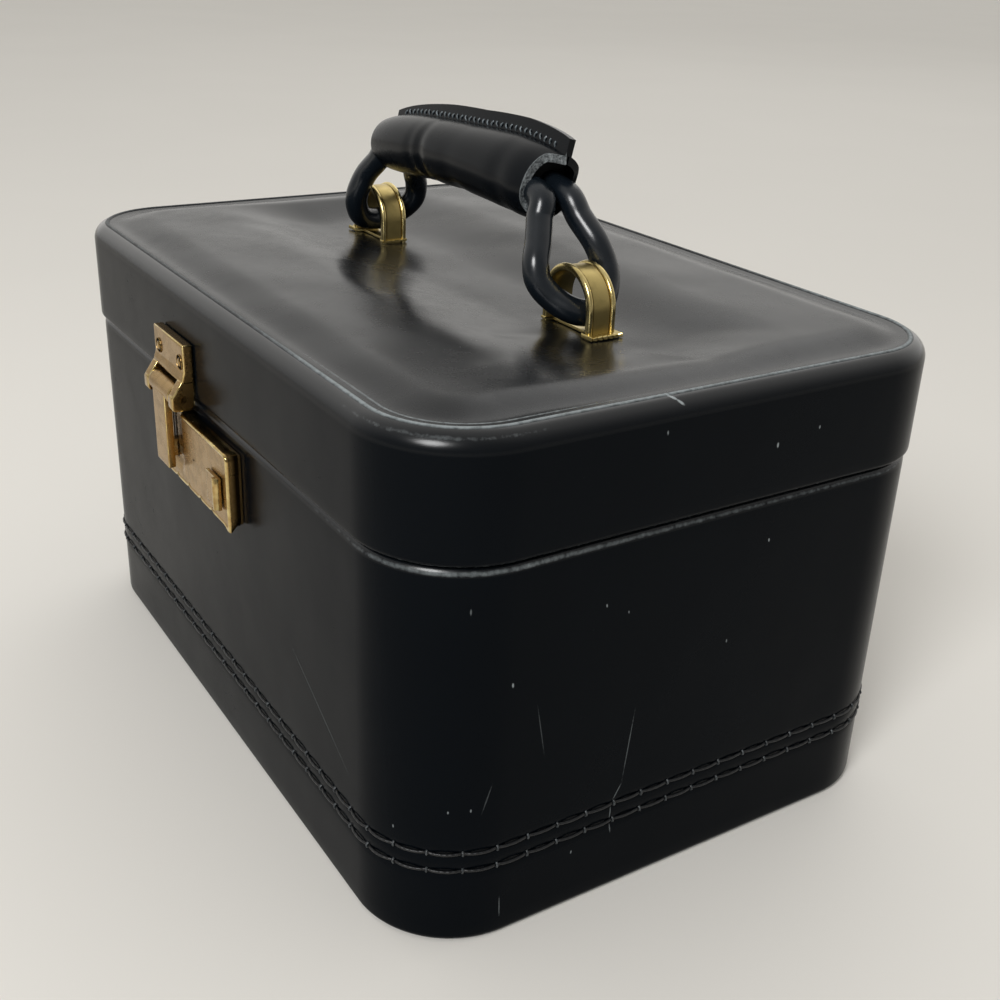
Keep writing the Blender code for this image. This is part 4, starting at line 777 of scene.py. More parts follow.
class VANITY_OT_base_stitching(bpy.types.Operator):
    """Two rows of saddle stitches round the base, each thread sunk at its ends."""
    bl_idname = "vanity_case.base_stitching"
    bl_label = "Base stitching"

    def execute(self, context):
        settings = context.scene.vanity_stitch
        thread = waxed_thread("waxed_linen_thread", settings.colour)
        # The paler thread ends are a painted highlight
        knot = waxed_thread("thread_end_painted_highlight", settings.knot_colour)
        width, depth, corner = CASE_SIZE
        around = 2 * (width + depth) - 8 * corner + 2 * math.pi * corner
        count = round(around / settings.pitch)
        pitch = around / count
        radius = settings.thread_radius
        chance = np.random.default_rng(7)
        for place, height in zip(("upper", "lower"), STITCH_ROWS):
            stitches, knots = [], []
            for number in range(count):
                lift = 0.00025 * chance.random()
                tilt = 0.0003 * (chance.random() - 0.5)
                path = []
                for share in np.linspace(0.05, 0.95, 9):
                    point, out = outline_place(CASE_SIZE, (number + share) * pitch)
                    proud = -0.0009 + (0.0011 + lift) * math.sin(math.pi * share) ** 0.5
                    path.append(point + out * proud + Vector((0, 0, height + tilt * (share - 0.5))))
                stitches.append(loft(tube_rows(path, radius, 8)))
                point, out = outline_place(CASE_SIZE, number * pitch)
                half = 0.0009 + 0.0003 * chance.random()
                hook = [point + out * (-0.0010 + 0.0014 * math.cos(turn))
                        + Vector((0, 0, height + half * math.sin(turn)))
                        for turn in np.linspace(-1.5, 1.5, 7)]
                knots.append(loft(tube_rows(hook, radius * 0.75, 6)))
            put("base_stitches_" + place, stitches, thread, "case_body", "cord", sharp=60)
            put("base_stitch_ends_" + place, knots, knot, "case_body", "cord", sharp=60)
        return {"FINISHED"}


class VANITY_OT_lid_skin(bpy.types.Operator):
    """Leather round the lid's sides and the piped welt on its shoulder."""
    bl_idname = "vanity_case.lid_skin"
    bl_label = "Lid leather and welt"

    def execute(self, context):
        leather = context.scene.vanity_leather
        look = coated_leather(leather, "coated_leather_lid", LID_MARKS, reflection=0.045,
                              polished=(SHOULDER_BASE, SHOULDER_BASE + 0.7 * SHOULDER))
        low = SEAM + EDGE_ROUND
        tuck = math.pi - SHOULDER_TUCK
        profile = [(SKIN_OUT, SEAM + TURN_DEPTH), (TURN_IN, SEAM + TURN_DEPTH)]
        profile += arc((TURN_IN - EDGE_ROUND, low), EDGE_ROUND, 0, -math.pi / 2, 6)
        profile += arc((EDGE_ROUND, low), EDGE_ROUND, -math.pi / 2, -math.pi, 6)
        profile += [(0, height) for height in np.linspace(low + 0.003, SHOULDER_BASE - 0.003, 7)]
        profile += arc((SHOULDER, SHOULDER_BASE), SHOULDER, math.pi, tuck, 24)
        profile += arc((SHOULDER, SHOULDER_BASE), SHOULDER - LEATHER, tuck, math.pi, 6)
        profile += [(LEATHER, SEAM + LEATHER), (SKIN_OUT, SEAM + LEATHER)]
        rows = wrap_rows(LID_SIZE, profile)
        x, y, z = rows.reshape(-1, 3).T
        # Pale line on the shoulder's crest: a little rubbing all round, and a painted highlight that grows
        # near the front right corner
        crest_wear_and_highlight = bell(z - SHOULDER_BASE - SHOULDER * 0.72, 0.0009) * (0.05 + 0.33 * near_corner(x, y) ** 2)
        put("lid_wrap", [loft(rows, closed=True)], look, "lid", "leather", ["lid_side_leather"], sharp=50,
            wear=crest_wear_and_highlight + bell(z - SEAM, 0.0015) * 0.35)

        look = coated_leather(leather, "rubbed_leather_piping", LID_MARKS[:2], wear=0.9, roughness=0.4,
                              waves=0.3, reflection=0.2)
        middle = SEAM + WELT_HEIGHT - WELT_SINK
        path = [(*point, middle) for point in ring(LID_SIZE, WELT_INSET, run=0.004)]
        rows = tube_rows(path, WELT_RADIUS, 12, closed=True)
        x, y, z = rows.reshape(-1, 3).T
        top = ramp((z - middle) / WELT_RADIUS - 0.25)
        put("lid_piping", [loft(rows, closed=True)], look, "lid", "welt", ["lid_welt"],
            wear=top * (0.60 + 0.77 * ramp((x - 0.02) / 0.10) + 0.25 * near_corner(x, y)))
        return {"FINISHED"}


class VANITY_OT_lid_panel(bpy.types.Operator):
    """Padded leather panel on the lid, with its wadding underneath."""
    bl_idname = "vanity_case.lid_panel"
    bl_label = "Padded lid panel"

    def execute(self, context):
        leather = context.scene.vanity_leather
        look = coated_leather(leather, "coated_leather_panel", roughness=leather.roughness + 0.02,
                              reflection=0.24)
        outline = ring(LID_SIZE, PANEL_INSET - PANEL_TUCK, run=0.004)
        shares = np.concatenate([np.linspace(0.003, 0.80, 48), np.linspace(0.82, 0.96, 14),
                                 np.linspace(0.965, 1.0, 16)])
        top = spread_rows(outline, shares, lambda x, y: panel_height(x, y) + panel_detail(x, y))
        rows = np.concatenate([top, top[::-1] - (0, 0, LEATHER)])
        x, y, z = rows.reshape(-1, 3).T
        line = bell(panel_edge_distance(x, y) - 0.0022, 0.0006)
        panel = put("lid_panel", [loft(rows)], look, "lid", "leather", ["lid_top_leather"], sharp=60,
                    wear=line * near_corner(x, y) * (z > PANEL_EDGE))

        under = top[::-1].copy()
        under[:, :, 2] = PANEL_BOARD_TOP + FIT
        # Carded cotton wadding: off-white, very dull, with soft clumps
        cotton = mottled("cotton_wadding", 0.004, "B9AF9C", "DED6C6", 0.95)
        wadding = put("lid_wadding", [loft(np.concatenate([top - (0, 0, LEATHER + FIT), under]))], cotton,
                      "lid", "wadding", ["lid_padding"], sharp=60)
        return {"FINISHED"}


# Handle
def smooth_route(points, steps):
    """Points read from a smooth closed curve through the route's own points."""
    count = len(points)
    route = []
    for place in range(count):
        before, start, end, after = (Vector(points[(place + shift) % count]) for shift in (-1, 0, 1, 2))
        for t in (step / steps for step in range(steps)):
            route.append((2 * start + (end - before) * t
                          + (2 * before - 5 * start + 4 * end - after) * t ** 2
                          + (3 * start - before - 3 * end + after) * t ** 3) / 2)
    return route


def cord_route(steps):
    """Closed route of the cord: both strands through the grip and a turn through each staple."""
    rear, front = ([(share * STAPLE_X, across * EYE_RADIUS, rise * GRIP_RISE)
                    for share, across, rise in strand] for strand in (REAR_STRAND, FRONT_STRAND))
    turn = []
    for share, degrees, reach in EYE_TURN:
        radius = reach * EYE_RADIUS
        angle = math.radians(degrees)
        turn.append((share * STAPLE_X, radius * math.sin(angle), -radius * math.cos(angle)))
    right = rear + turn + front
    left = [(-x, -y, z) for x, y, z in right]
    return [HANDLE_AXIS + point for point in smooth_route(right + left, steps)]


class VANITY_OT_handle_cord(bpy.types.Operator):
    """Ring of vinyl cord that runs through the grip and both staples."""
    bl_idname = "vanity_case.handle_cord"
    bl_label = "Handle cord"

    def execute(self, context):
        rows = tube_rows(cord_route(8), CORD_RADIUS, CORD_SIDES, closed=True)
        put("cord_ring", [loft(rows, closed=True)], vinyl_cord("vinyl_cord"), "handle", "cord",
            ["handle_cord"])
        return {"FINISHED"}


def grip_end(share, angle):
    """How far along the handle a place on the sleeve lies: its ends are cut back in front and below."""
    cut = np.interp(angle, *(GRIP_CUT_RIGHT if share > 0 else GRIP_CUT_LEFT))
    return share * (1 - cut * ramp((abs(share) - 0.55) / 0.45))


def grip_middle(share):
    """Middle of the grip at a share of its half length."""
    return HANDLE_AXIS + Vector((share * GRIP_HALF_LENGTH, 0, GRIP_RISE - GRIP_DROOP * share ** 2))


def grip_swell(share):
    """How much of its full thickness the grip has at a share of its half length."""
    return 1 - 0.14 * abs(share) ** 6


def grip_section(share, inner):
    """One closed section of the grip's sleeve: a round body that runs up into the seam's fin."""
    wide = GRIP_HALF_WIDTH * grip_swell(share)
    low = GRIP_HALF_HEIGHT * grip_swell(share)
    high = low + np.interp(share, *GRIP_LIFT)
    fin = high + np.interp(share, *GRIP_FIN_SHAPE)
    fin_half = GRIP_FIN_HALF
    if inner:
        thick = SLEEVE + 0.0014 * abs(share) ** 20
        fin = high
        wide, low, high = wide - thick, low - thick, high - thick
        fin_half = 0.0004
    gap = math.asin(fin_half / wide)
    around = [(wide * math.cos(turn), (high if math.sin(turn) > 0 else low) * math.sin(turn))
              for turn in np.linspace(math.pi / 2 - gap, gap - 1.5 * math.pi, 60)]
    last_y, last_z = around[-1]
    rise = [(-fin_half + (last_y + fin_half) * (1 - step) ** 2, last_z + (fin - last_z) * step)
            for step in (0.25, 0.5, 0.75, 1.0)]
    fall = [(-y, z) for y, z in reversed(rise)]
    section = []
    for y, z in around + rise + fall:
        place = grip_end(share, math.degrees(math.atan2(z, y)) % 360)
        if y > 0:
            y *= 1 - 0.16 * abs(share) ** 8
        section.append(grip_middle(place) + GRIP_TURN @ Vector((0, y, z)))
    return section


def pinched_section(share):
    """One section of the sleeve's outside, drawn in where the leather is folded."""
    section = []
    for point in grip_section(share, inner=False):
        place = (point.x - HANDLE_AXIS.x) / GRIP_HALF_LENGTH
        away = point - grip_middle(place)
        angle = math.degrees(math.atan2(away.z, away.y)) % 360
        pinch = 0
        for crease, width, depth, deepest in GRIP_FOLDS:
            aside = (angle - deepest + 180) % 360 - 180
            pinch += depth * float(bell(place - crease, width) * bell(aside, 60))
        section.append(point - Vector((0, away.y, away.z)).normalized() * pinch)
    return section


def add_grip_stitches(colour):
    """Short bars of thread that stand across the grip's seam on both its sides."""
    thread = waxed_thread("pale_waxed_thread", colour)
    stitches = []
    for centre in np.arange(-0.057, 0.058, GRIP_STITCH_PITCH):
        share = centre / GRIP_HALF_LENGTH
        base = GRIP_HALF_HEIGHT * grip_swell(share) + np.interp(share, *GRIP_LIFT) + 0.0013
        slant = 0.0005 * math.sin(9 * centre / GRIP_STITCH_PITCH)
        for side in (-1, 1):
            path = []
            for step in np.linspace(-1, 1, 5):
                proud = side * (GRIP_FIN_HALF + 0.00035 - 0.0005 * step * step)
                offset = Vector((step * slant, proud, base + 0.0009 * step))
                path.append(grip_middle(share) + GRIP_TURN @ offset)
            stitches.append(loft(tube_rows(path, 0.00036, 6)))
    put("grip_stitches", stitches, thread, "handle", "cord", sharp=60)


class VANITY_OT_handle_grip(bpy.types.Operator):
    """Leather sleeve of the grip with its thick cut ends, its fin and the fin's stitches."""
    bl_idname = "vanity_case.handle_grip"
    bl_label = "Handle grip"

    def execute(self, context):
        leather = context.scene.vanity_leather
        look = coated_leather(leather, "coated_leather_grip", roughness=leather.roughness + 0.02, waves=0.6,
                              reflection=0.16)
        stations = np.concatenate([np.linspace(-1, -0.9, 8), np.linspace(-0.88, 0.88, 64),
                                   np.linspace(0.9, 1, 8)])
        outer = [pinched_section(share) for share in stations]
        inner = [grip_section(share, inner=True) for share in stations]
        rows = np.array([[tuple(point) for point in row] for row in outer + inner[::-1]])
        around = rows.shape[1]
        wear = np.zeros(rows.shape[:2])
        for end in (0, len(stations) - 1):
            wear[end, GRIP_CUT_COLUMNS] = 0.9
        sleeve = put("grip_sleeve", [loft(rows, closed=True)], look, "handle", "leather", ["handle_grip"],
                     sharp=55, wear=wear)
        sleeve.data.materials.append(cut_leather_edge("cut_leather_edge"))
        for end in (len(stations) - 1, 2 * len(stations) - 1):
            for column in GRIP_CUT_COLUMNS:
                sleeve.data.polygons[end * around + column].material_index = 1
        # Felt that fills the sleeve round both strands of the cord: black and matt
        rows = [grip_section(share, inner=True) for share in np.linspace(-0.84, 0.80, 24)]
        felt = mottled("black_felt", 0.004, "0B0C0E", "16181B", 0.95)
        put("grip_filler", [loft(rows)], felt, "handle", "wadding", sharp=60)
        add_grip_stitches(tinted(context.scene.vanity_stitch.knot_colour, 4.0))
        return {"FINISHED"}


# Staples
def staple_section():
    """Section of the staple's strap as (y, reach, rubbed) points, with a rolled rim on each edge."""
    inner = STAPLE_OUTER - STAPLE_STRIP
    rim = 0.00105
    groove_y = STAPLE_HALF_WIDTH - 2 * rim
    half = [(STAPLE_HALF_WIDTH - 0.0004, inner, 0.6), (STAPLE_HALF_WIDTH, inner + 0.0004, 0.9)]
    half += [(*point, 1.0) for point in
             arc((STAPLE_HALF_WIDTH - rim, STAPLE_OUTER + 0.0008 - rim), rim, 0, math.pi * 0.90, 7)]
    # The groove between the rims gets 0, which paints shade into it; the rims' 1 paints them pale, partly
    # rubbed and partly a painted highlight
    floor = STAPLE_OUTER - 0.0007
    half += [(groove_y - 0.0001, floor, 0.0), (groove_y - 0.0003, floor, 0.0),
             (groove_y - 0.0004, STAPLE_OUTER - 0.0001, 0.45), (groove_y - 0.0012, STAPLE_OUTER, 0.45)]
    return half + [(-y, reach, rubbed) for y, reach, rubbed in reversed(half)]


class VANITY_OT_staples(bpy.types.Operator):
    """Two arched staples with rolled rims and crimped foot plates."""
    bl_idname = "vanity_case.staples"
    bl_label = "Handle staples"

    def execute(self, context):
        look = gilt_brass(context.scene.vanity_brass, "rubbed_gilt_staple", tarnished=0.3, roughness=0.30,
                          handled=True, dents=0.00012, colour=linear("C2AE72"))
        leg_end = PANEL_BOARD_BOTTOM - 0.001 - FIT
        low = PANEL_MIDDLE + FIT
        levels = ((1.0, low, 0.3), (1.0, low + STAPLE_PLATE * 0.7, 1.0), (0.97, low + STAPLE_PLATE, 0.8))
        section = staple_section()
        # Cosine, sine and middle height of each station along the strap: a leg's end, the arch, a leg's end
        stations = [(1, 0, leg_end), *((math.cos(turn), math.sin(turn), STAPLE_ARCH_Z)
                                       for turn in np.linspace(0, math.pi, STAPLE_STEPS)), (-1, 0, leg_end)]
        for side, name in ((-1, "left"), (1, "right")):
            middle = Vector((side * STAPLE_X, HANDLE_AXIS.y, 0))
            rows = [[middle + Vector((reach * along, y, height + reach * up)) for y, reach, _ in section]
                    for along, up, height in stations]
            wear = [rubbed for _ in rows for _, _, rubbed in section]
            put("staple_" + name, [loft(rows)], look, "lid", "brass", ["handle_staple_" + name], sharp=50,
                wear=wear)
            outline = crimped_outline(side)
            rows = [[(middle.x + x * grow, middle.y + y * grow, z + (0.0005 if tooth and z > low else 0))
                     for x, y, tooth in outline] for grow, z, _ in levels]
            wear = [rubbed for _, _, rubbed in levels for _ in outline]
            put("staple_foot_" + name, [loft(rows)], look, "lid", "brass", ["staple_plate_" + name],
                sharp=40, wear=wear)
        return {"FINISHED"}


def crimped_outline(side):
    """Outline of a foot plate: wide and crimped into teeth outside the strap, narrow under the cord."""
    half_x, half_y = STAPLE_PLATE_HALF
    teeth = 6
    points = [(half_x - 0.0008 * (step % 2), half_y * (step / teeth - 1), step % 2 == 0)
              for step in range(2 * teeth + 1)]
    points += [(0.0120, half_y, True), (0.0100, 0.0035, False), (-0.0110, 0.0035, False),
               (-0.0125, 0.0062, False), (-0.0150, 0.0062, False)]
    points += [(-0.0150 - 0.0006 * (step % 2), 0.0062 - 0.0124 * step / 8, False) for step in range(1, 8)]
    points += [(-0.0150, -0.0062, False), (-0.0125, -0.0062, False), (-0.0110, -0.0035, False),
               (0.0100, -0.0035, False), (0.0120, -half_y, True)]
    return [(side * x, y, tooth) for x, y, tooth in points]


# Latch
def cut_away(mesh, low, high):
    """Cut a box between two corners out of a mesh, with sharp walls."""
    body = bpy.data.objects.new("cut_body", mesh)
    tool = bpy.data.objects.new("cut_tool", make_mesh("cut_tool", [block(low, high)]))
    for item in (body, tool):
        bpy.context.scene.collection.objects.link(item)
    cutter = body.modifiers.new("cut", "BOOLEAN")
    cutter.operation = "DIFFERENCE"
    cutter.object = tool
    cutter.solver = "EXACT"
    result = bpy.data.meshes.new_from_object(body.evaluated_get(bpy.context.evaluated_depsgraph_get()))
    for item in (body, tool):
        bpy.data.objects.remove(item)
    result.shade_smooth()
    result.set_sharp_from_angle(angle=math.radians(40))
    return result


def drawn_along_x(outline, start, end):
    """Points and faces of an outline of (y, z) points drawn along X."""
    return loft([[(x, y, z) for y, z in outline] for x in (start, end)])


def add_latch_plate(look):
    """Plate on the lid's front, with the two lugs that hold the hasp."""
    axis_y, axis_z = HASP_AXIS.y, HASP_AXIS.z
    back = LID_FRONT - FIT
    front = HASP_PLATE_FRONT
    # The plate bends out to its two lugs, and ends just above the barrel
    foot, bend, lug_top = axis_z + 0.0061, axis_z + 0.0108, (front - 0.0011, axis_z + 0.0072)
    face = [(back, foot), (back, HASP_PLATE_TOP), (front, HASP_PLATE_TOP), (front, bend), lug_top,
            (front - 0.0008, foot)]
    parts = [bevelled(drawn_along_x(face, LATCH_X - HASP_PLATE_HALF, LATCH_X + HASP_PLATE_HALF),
                      0.0006, 3)]
    edge = HASP_BARREL - LUG_ROUND
    lug = [(back, SEAM + 0.0040), (back, lug_top[1]), lug_top]
    for y, z, start, end, steps in ((-edge, 0.0005, 0.75, 1, 4), (-edge, -edge, 1, 1.5, 6),
                                    (edge, -edge, 1.5, 2, 6)):
        lug += arc((axis_y + y, axis_z + z), LUG_ROUND, start * math.pi, end * math.pi, steps)
    for side in (-1, 1):
        ends = sorted(LATCH_X + side * reach for reach in (HASP_KNUCKLE_HALF + FIT, HASP_PLATE_HALF))
        parts.append(bevelled(drawn_along_x(lug, *ends), 0.0003, 2, angle=50))
    wear = [bend for part in parts for bend in rubbed_and_highlit_edges(part)]
    put("latch_plate", parts, look, "lid", "brass", ["hasp_plate"], sharp=40, wear=wear)


def add_latch_rivets(look):
    """The two rivets of the latch's plate, each a cupped collar with a small dome in it."""
    front = HASP_PLATE_FRONT
    inner = LID_FRONT + LINING_IN + FIT
    # Radius, y and how rubbed; the 0 in the collar's groove paints shade into it
    collar = [(0.0012, front - 0.0001, 0.5), (0.0031, front - 0.0001, 0.5), (0.0031, front - 0.0003, 0.5),
              (0.0030, front - 0.0004, 0.6), (0.0028, front - 0.0001, 0.0), (0.0019, front - 0.0001, 0.0),
              (0.0017, front - 0.0003, 0.1), (0.0013, front - 0.0006, 0.6), (0.0004, front - 0.0008, 0.8)]
    profile = [(0.0031, inner + 0.0008, 0.5), (0.0031, inner, 0.5), (0.0012, inner, 0.5)] + collar
    for side, name in ((-1, "left"), (1, "right")):
        x, z = LATCH_X + 0.001 + side * 0.012, SEAM + 0.0155
        turns = np.linspace(0, 2 * math.pi, 28, endpoint=False)
        rows = [[(x + radius * math.cos(turn), y, z + radius * math.sin(turn)) for turn in turns]
                for radius, y, _ in profile]
        wear = [rubbed for _, _, rubbed in profile for _ in turns]
        put("latch_rivet_" + name, [loft(rows)], look, "lid", "brass", ["hasp_rivet_" + name], sharp=50,
            wear=wear)


def add_hasp(look):
    """Hasp: a round knuckle, a strap that hangs from it, and the eye behind the strap."""
    axis_z = HASP_AXIS.z
    stations = [HASP_KNUCKLE_HALF * share for share in (-1, -0.9, -0.3, 0.3, 0.9, 1)]
    barrel = tube_rows([HASP_AXIS + Vector((along, 0, 0)) for along in stations], HASP_BARREL, 40)
    near = HASP_AXIS.y - HASP_BARREL
    fold, thick = near + 0.003, 0.0012
    # The strap is a channel: a sheet with both its sides folded back
    right = [(HASP_HALF_WIDTH, near), (HASP_HALF_WIDTH, fold), (HASP_HALF_WIDTH - thick, fold),
             (HASP_HALF_WIDTH - thick, near + thick)]
    channel = right + [(-x, y) for x, y in reversed(right)]
    rows = [[(LATCH_X + x, y, z) for x, y in channel] for z in (axis_z - HASP_LENGTH, axis_z)]
    parts = [bevelled(loft(barrel), 0.0004, 2, angle=50), bevelled(loft(rows), 0.0004, 3)]
    # The eye that the bolt's nose runs through: two bars, a back and a root, and the clear height between
    bar_back = CASE_FRONT - FIT - 0.002
    root = LOCK_FRONT + LOCK_WALL
    reach, clear = 0.0035, 0.0026
    for low_y, high_y, low_z, high_z in ((root, bar_back, clear, reach), (root, bar_back, -reach, -clear),
                                         (bar_back - 0.0009, bar_back, -reach, reach),
                                         (near + 0.0006, root, -reach, reach)):
        parts.append(block((LATCH_X - 0.002, low_y, CATCH_Z + low_z),
                           (LATCH_X + 0.002, high_y, CATCH_Z + high_z)))
    wear = [bend for part in parts[:2] for bend in rubbed_and_highlit_edges(part)]
    wear += [0.5 for points, _ in parts[2:] for _ in points]
    put("latch_hasp", parts, look, "hasp", "brass", ["hasp"], sharp=40, wear=wear)


class VANITY_OT_latch(bpy.types.Operator):
    """Plate on the lid with its rivets, and the hasp that hangs from it."""
    bl_idname = "vanity_case.latch"
    bl_label = "Latch plate and hasp"

    def execute(self, context):
        look = gilt_brass(context.scene.vanity_brass, "gilt_brass_latch", tarnished=0.5, handled=True,
                          dents=0.00010)
        add_latch_plate(look)
        add_latch_rivets(look)
        add_hasp(look)
        return {"FINISHED"}


def recess(x, z):
    """How far the lock's face is pressed in beside the hasp, from 0 to 1."""
    across = ramp((x - LATCH_X + 0.0085) / 0.001) * ramp((LATCH_X + 0.0115 - x) / 0.0034)
    return across * ramp((z - RECESS_FOOT) / 0.0065)


def lock_rows(back):
    """Rows of points of the lock box and how rubbed each point is, from its rear edge in to the face's
    middle and back along the inside."""
    size = (LOCK_WIDTH, LOCK_HEIGHT, LOCK_CORNER)
    # Inset, y and how rubbed: up the side, over a raised bead and onto the face
    profile = [(0, back, 0.5), (0, LOCK_FRONT + 0.0035, 0.5), (0, LOCK_FRONT + 0.0010, 0.6),
               (0.0001, LOCK_FRONT + 0.0003, 0.9), (0.0004, LOCK_FRONT - 0.0001, 1.0),
               (0.0008, LOCK_FRONT - 0.0002, 1.0), (0.0012, LOCK_FRONT - 0.0001, 1.0),
               (0.0015, LOCK_FRONT + 0.0001, 0.4), (0.0019, LOCK_FRONT + 0.0001, 0.5)]
    layers = [(ring(size, inset, LOCK_STEPS, LOCK_RUN), y, rubbed) for inset, y, rubbed in profile]
    face = layers[-1][0]
    layers += [(face * share, LOCK_FRONT + 0.0001, 0.5) for share in np.linspace(0.97, 0.02, 40)]
    outside = len(layers)
    inside = ring(size, LOCK_WALL, LOCK_STEPS, LOCK_RUN)
    layers += [(inside * share, LOCK_FRONT + LOCK_WALL, 0.5) for share in np.linspace(0.02, 1, 24)]
    layers.append((inside, back, 0.5))
    rows = []
    wear = []
    for number, (outline, y, rubbed) in enumerate(layers):
        x = outline[:, 0] + LOCK_CENTRE_X
        z = outline[:, 1] + LOCK_MIDDLE_Z
        hidden = number >= outside
        depth = (RECESS_DEPTH_INSIDE if hidden else RECESS_DEPTH) * (y < LOCK_FRONT + 0.0015)
        y = y + recess(x, z) * depth
        if not hidden:
            low = ramp((LOCK_MIDDLE_Z - LOCK_HEIGHT / 2 + 0.004 - z) / 0.004) * (y < LOCK_FRONT + 0.0030)
            nicks = sum(bell(x - place, 0.0009) for place in LOCK_NICKS)
            ear = bell(np.hypot(x - LOCK_EAR[0], z - LOCK_EAR[1]), 0.0027)
            z = z + low * 0.0013 * nicks - 0.0026 * ear * (y < LOCK_FRONT + 0.0020)
            x = x + 0.0010 * ear * (y < LOCK_FRONT + 0.0020)
        rows.append(np.column_stack([x, y, z]))
        level = np.full(len(x), rubbed)
        if number < 2:
            # Painted shade darkens the side walls, most of all the right one, and a painted highlight
            # brightens the top wall
            level = (0.30 - 0.24 * (x > LOCK_CENTRE_X + LOCK_WIDTH / 2 - 0.0012)
                     + 0.6 * (z > LOCK_MIDDLE_Z + LOCK_HEIGHT / 2 - 0.0004))
        wear += list(level)
    return np.array(rows), wear


def add_slide(look):
    """Thumb slide: a pad with a ridge near its right end, and the stem behind it."""
    pad_back = LOCK_FRONT - FIT
    pad_front = pad_back - 0.0014
    right = SLIDE_LEFT + SLIDE_WIDTH
    outline = [(SLIDE_LEFT, pad_back), (SLIDE_LEFT, pad_front), (right - 0.0032, pad_front),
               (right - 0.0028, pad_front - 0.0014), (right - 0.0012, pad_front - 0.0014),
               (right - 0.0008, pad_front), (right - 0.0004, pad_front), (right, pad_front - 0.0004),
               (right, pad_back)]
    levels = (CATCH_Z - SLIDE_HALF_HEIGHT, CATCH_Z + SLIDE_HALF_HEIGHT)
    pad = bevelled(loft([[(x, y, z) for x, y in outline] for z in levels]), 0.00035, 2)
    stem = block((STEM_X - 0.002, pad_back - 0.0007, CATCH_Z - 0.0012),
                 (STEM_X + 0.002, SLIDE_STEM_BACK, CATCH_Z + 0.0012))
    wear = rubbed_and_highlit_edges(pad) + [0.5] * len(stem[0])
    put("thumb_slide", [pad, stem], look, "latch_slide", "brass", ["slide_button"], sharp=40, wear=wear)


class VANITY_OT_lock(bpy.types.Operator):
    """Pressed lock box with its beaded rim and recess, and the thumb slide."""
    bl_idname = "vanity_case.lock"
    bl_label = "Lock box and slide"

    def execute(self, context):
        look = gilt_brass(context.scene.vanity_brass, "gilt_brass_lock", tarnished=0.5, roughness=0.20,
                          handled=True, dents=0.00012)
        back = CASE_FRONT - FIT - LOCK_WALL - FIT
        rows, wear = lock_rows(back)
        mesh = make_mesh("lock_box", [loft(rows, closed=True)], sharp=40, wear=wear)
        ahead, behind = LOCK_FRONT - 0.003, back - FIT
        mesh = cut_away(mesh, (LATCH_X - 0.0026, ahead, CATCH_Z - 0.0041),
                        (LATCH_X + 0.0026, behind, LOCK_MIDDLE_Z + LOCK_HEIGHT))
        mesh = cut_away(mesh, (STEM_X - 0.0023, ahead, CATCH_Z - 0.0015),
                        (STEM_X + 0.0063, LOCK_FRONT + LOCK_WALL + FIT, CATCH_Z + 0.0015))
        put("lock_box", mesh, look, "case_body", "brass", ["lock_case"])
        add_slide(look)
        return {"FINISHED"}


# Inside of the case
def add_cushion(look):
    """Thin loose cushion on the floor, dimpled where its buttons draw it in."""
    low = LINING_FLOOR + FIT
    outline = ring(CASE_SIZE, LINING_IN + 0.0015, LINING_STEPS, 0.008)
    shares = np.concatenate([np.linspace(0.02, 0.9, 26), np.linspace(0.92, 1.0, 8)])
    puff = 0.0012 + 0.0026 * np.sqrt(np.clip(1 - shares[:, None] ** 10, 0, 1))
    buttons = [(x, y) for x in (-0.09, -0.03, 0.03, 0.09) for y in (-0.045, 0, 0.045)]
    crown = spread_rows(outline, shares, lambda x, y: low + puff - sum(
        0.0012 * bell(np.hypot(x - at_x, y - at_y), 0.012) for at_x, at_y in buttons))
    under = crown[::-1].copy()
    under[:, :, 2] = low
    cushion = put("floor_cushion", [loft(np.concatenate([crown, under]))], look, "case_body", "lining",
                  ["floor_pad"], sharp=60)


def add_pocket(look, gathers):
    """Pocket on the rear wall: a sheet gathered into folds, no two of them alike."""
    half, top, bottom = 0.124, RIM_HEIGHT - 0.053, 0.024
    back = CASE_SIZE[1] / 2 - LINING_IN - FIT
    across = np.linspace(-half, half, 8 * gathers + 1)
    levels = np.linspace(bottom, top, 15)
    # Each gather has its own width and depth, and they lean as they run down
    chance = np.random.default_rng(11)
    places = np.concatenate([[0], np.cumsum(chance.uniform(0.55, 1.45, gathers))])
    places = half * (2 * places / places[-1] - 1)
    depths = chance.uniform(0.5, 1.15, len(places))
    points = []
    for layer in (0, 1):
        for height in levels:
            share = (height - bottom) / (top - bottom)
            fold = 0.0019 * (0.25 + 0.75 * abs(2 * share - 1) ** 1.3)
            bulge = 0.0040 * math.sin(math.pi * min(1, share * 1.15)) + 0.0012
            lean = across + 0.0022 * (1 - share) * np.sin(across * 43 + 1)
            wave = np.sin(2 * math.pi * np.interp(lean, places, np.arange(len(places))))
            deep = fold * np.interp(lean, places, depths)
            edge = ramp((half - np.abs(across)) / 0.008)
            y = back - (bulge + deep * (1 + wave)) * edge - 0.0002 + layer * LINING * 0.6
            points += [(x, depth, height) for x, depth in zip(across, y)]
    wide, tall = len(across), len(levels)
    cells = [(layer * tall + level) * wide + column for layer in (0, 1) for level in range(tall - 1)
             for column in range(wide - 1)]
    faces = [(here, here + 1, here + wide + 1, here + wide) for here in cells]
    grid = np.arange(wide * tall).reshape(tall, wide)
    rim = [*grid[0], *grid[1:, -1], *grid[-1, -2::-1], *grid[-2:0:-1, 0]]
    for here, after in zip(rim, rim[1:] + rim[:1]):
        faces.append((here, after, after + tall * wide, here + tall * wide))
    cloth = put("gathered_pocket", [(points, faces)], look, "case_body", "lining", ["rear_pocket"],
                sharp=60)


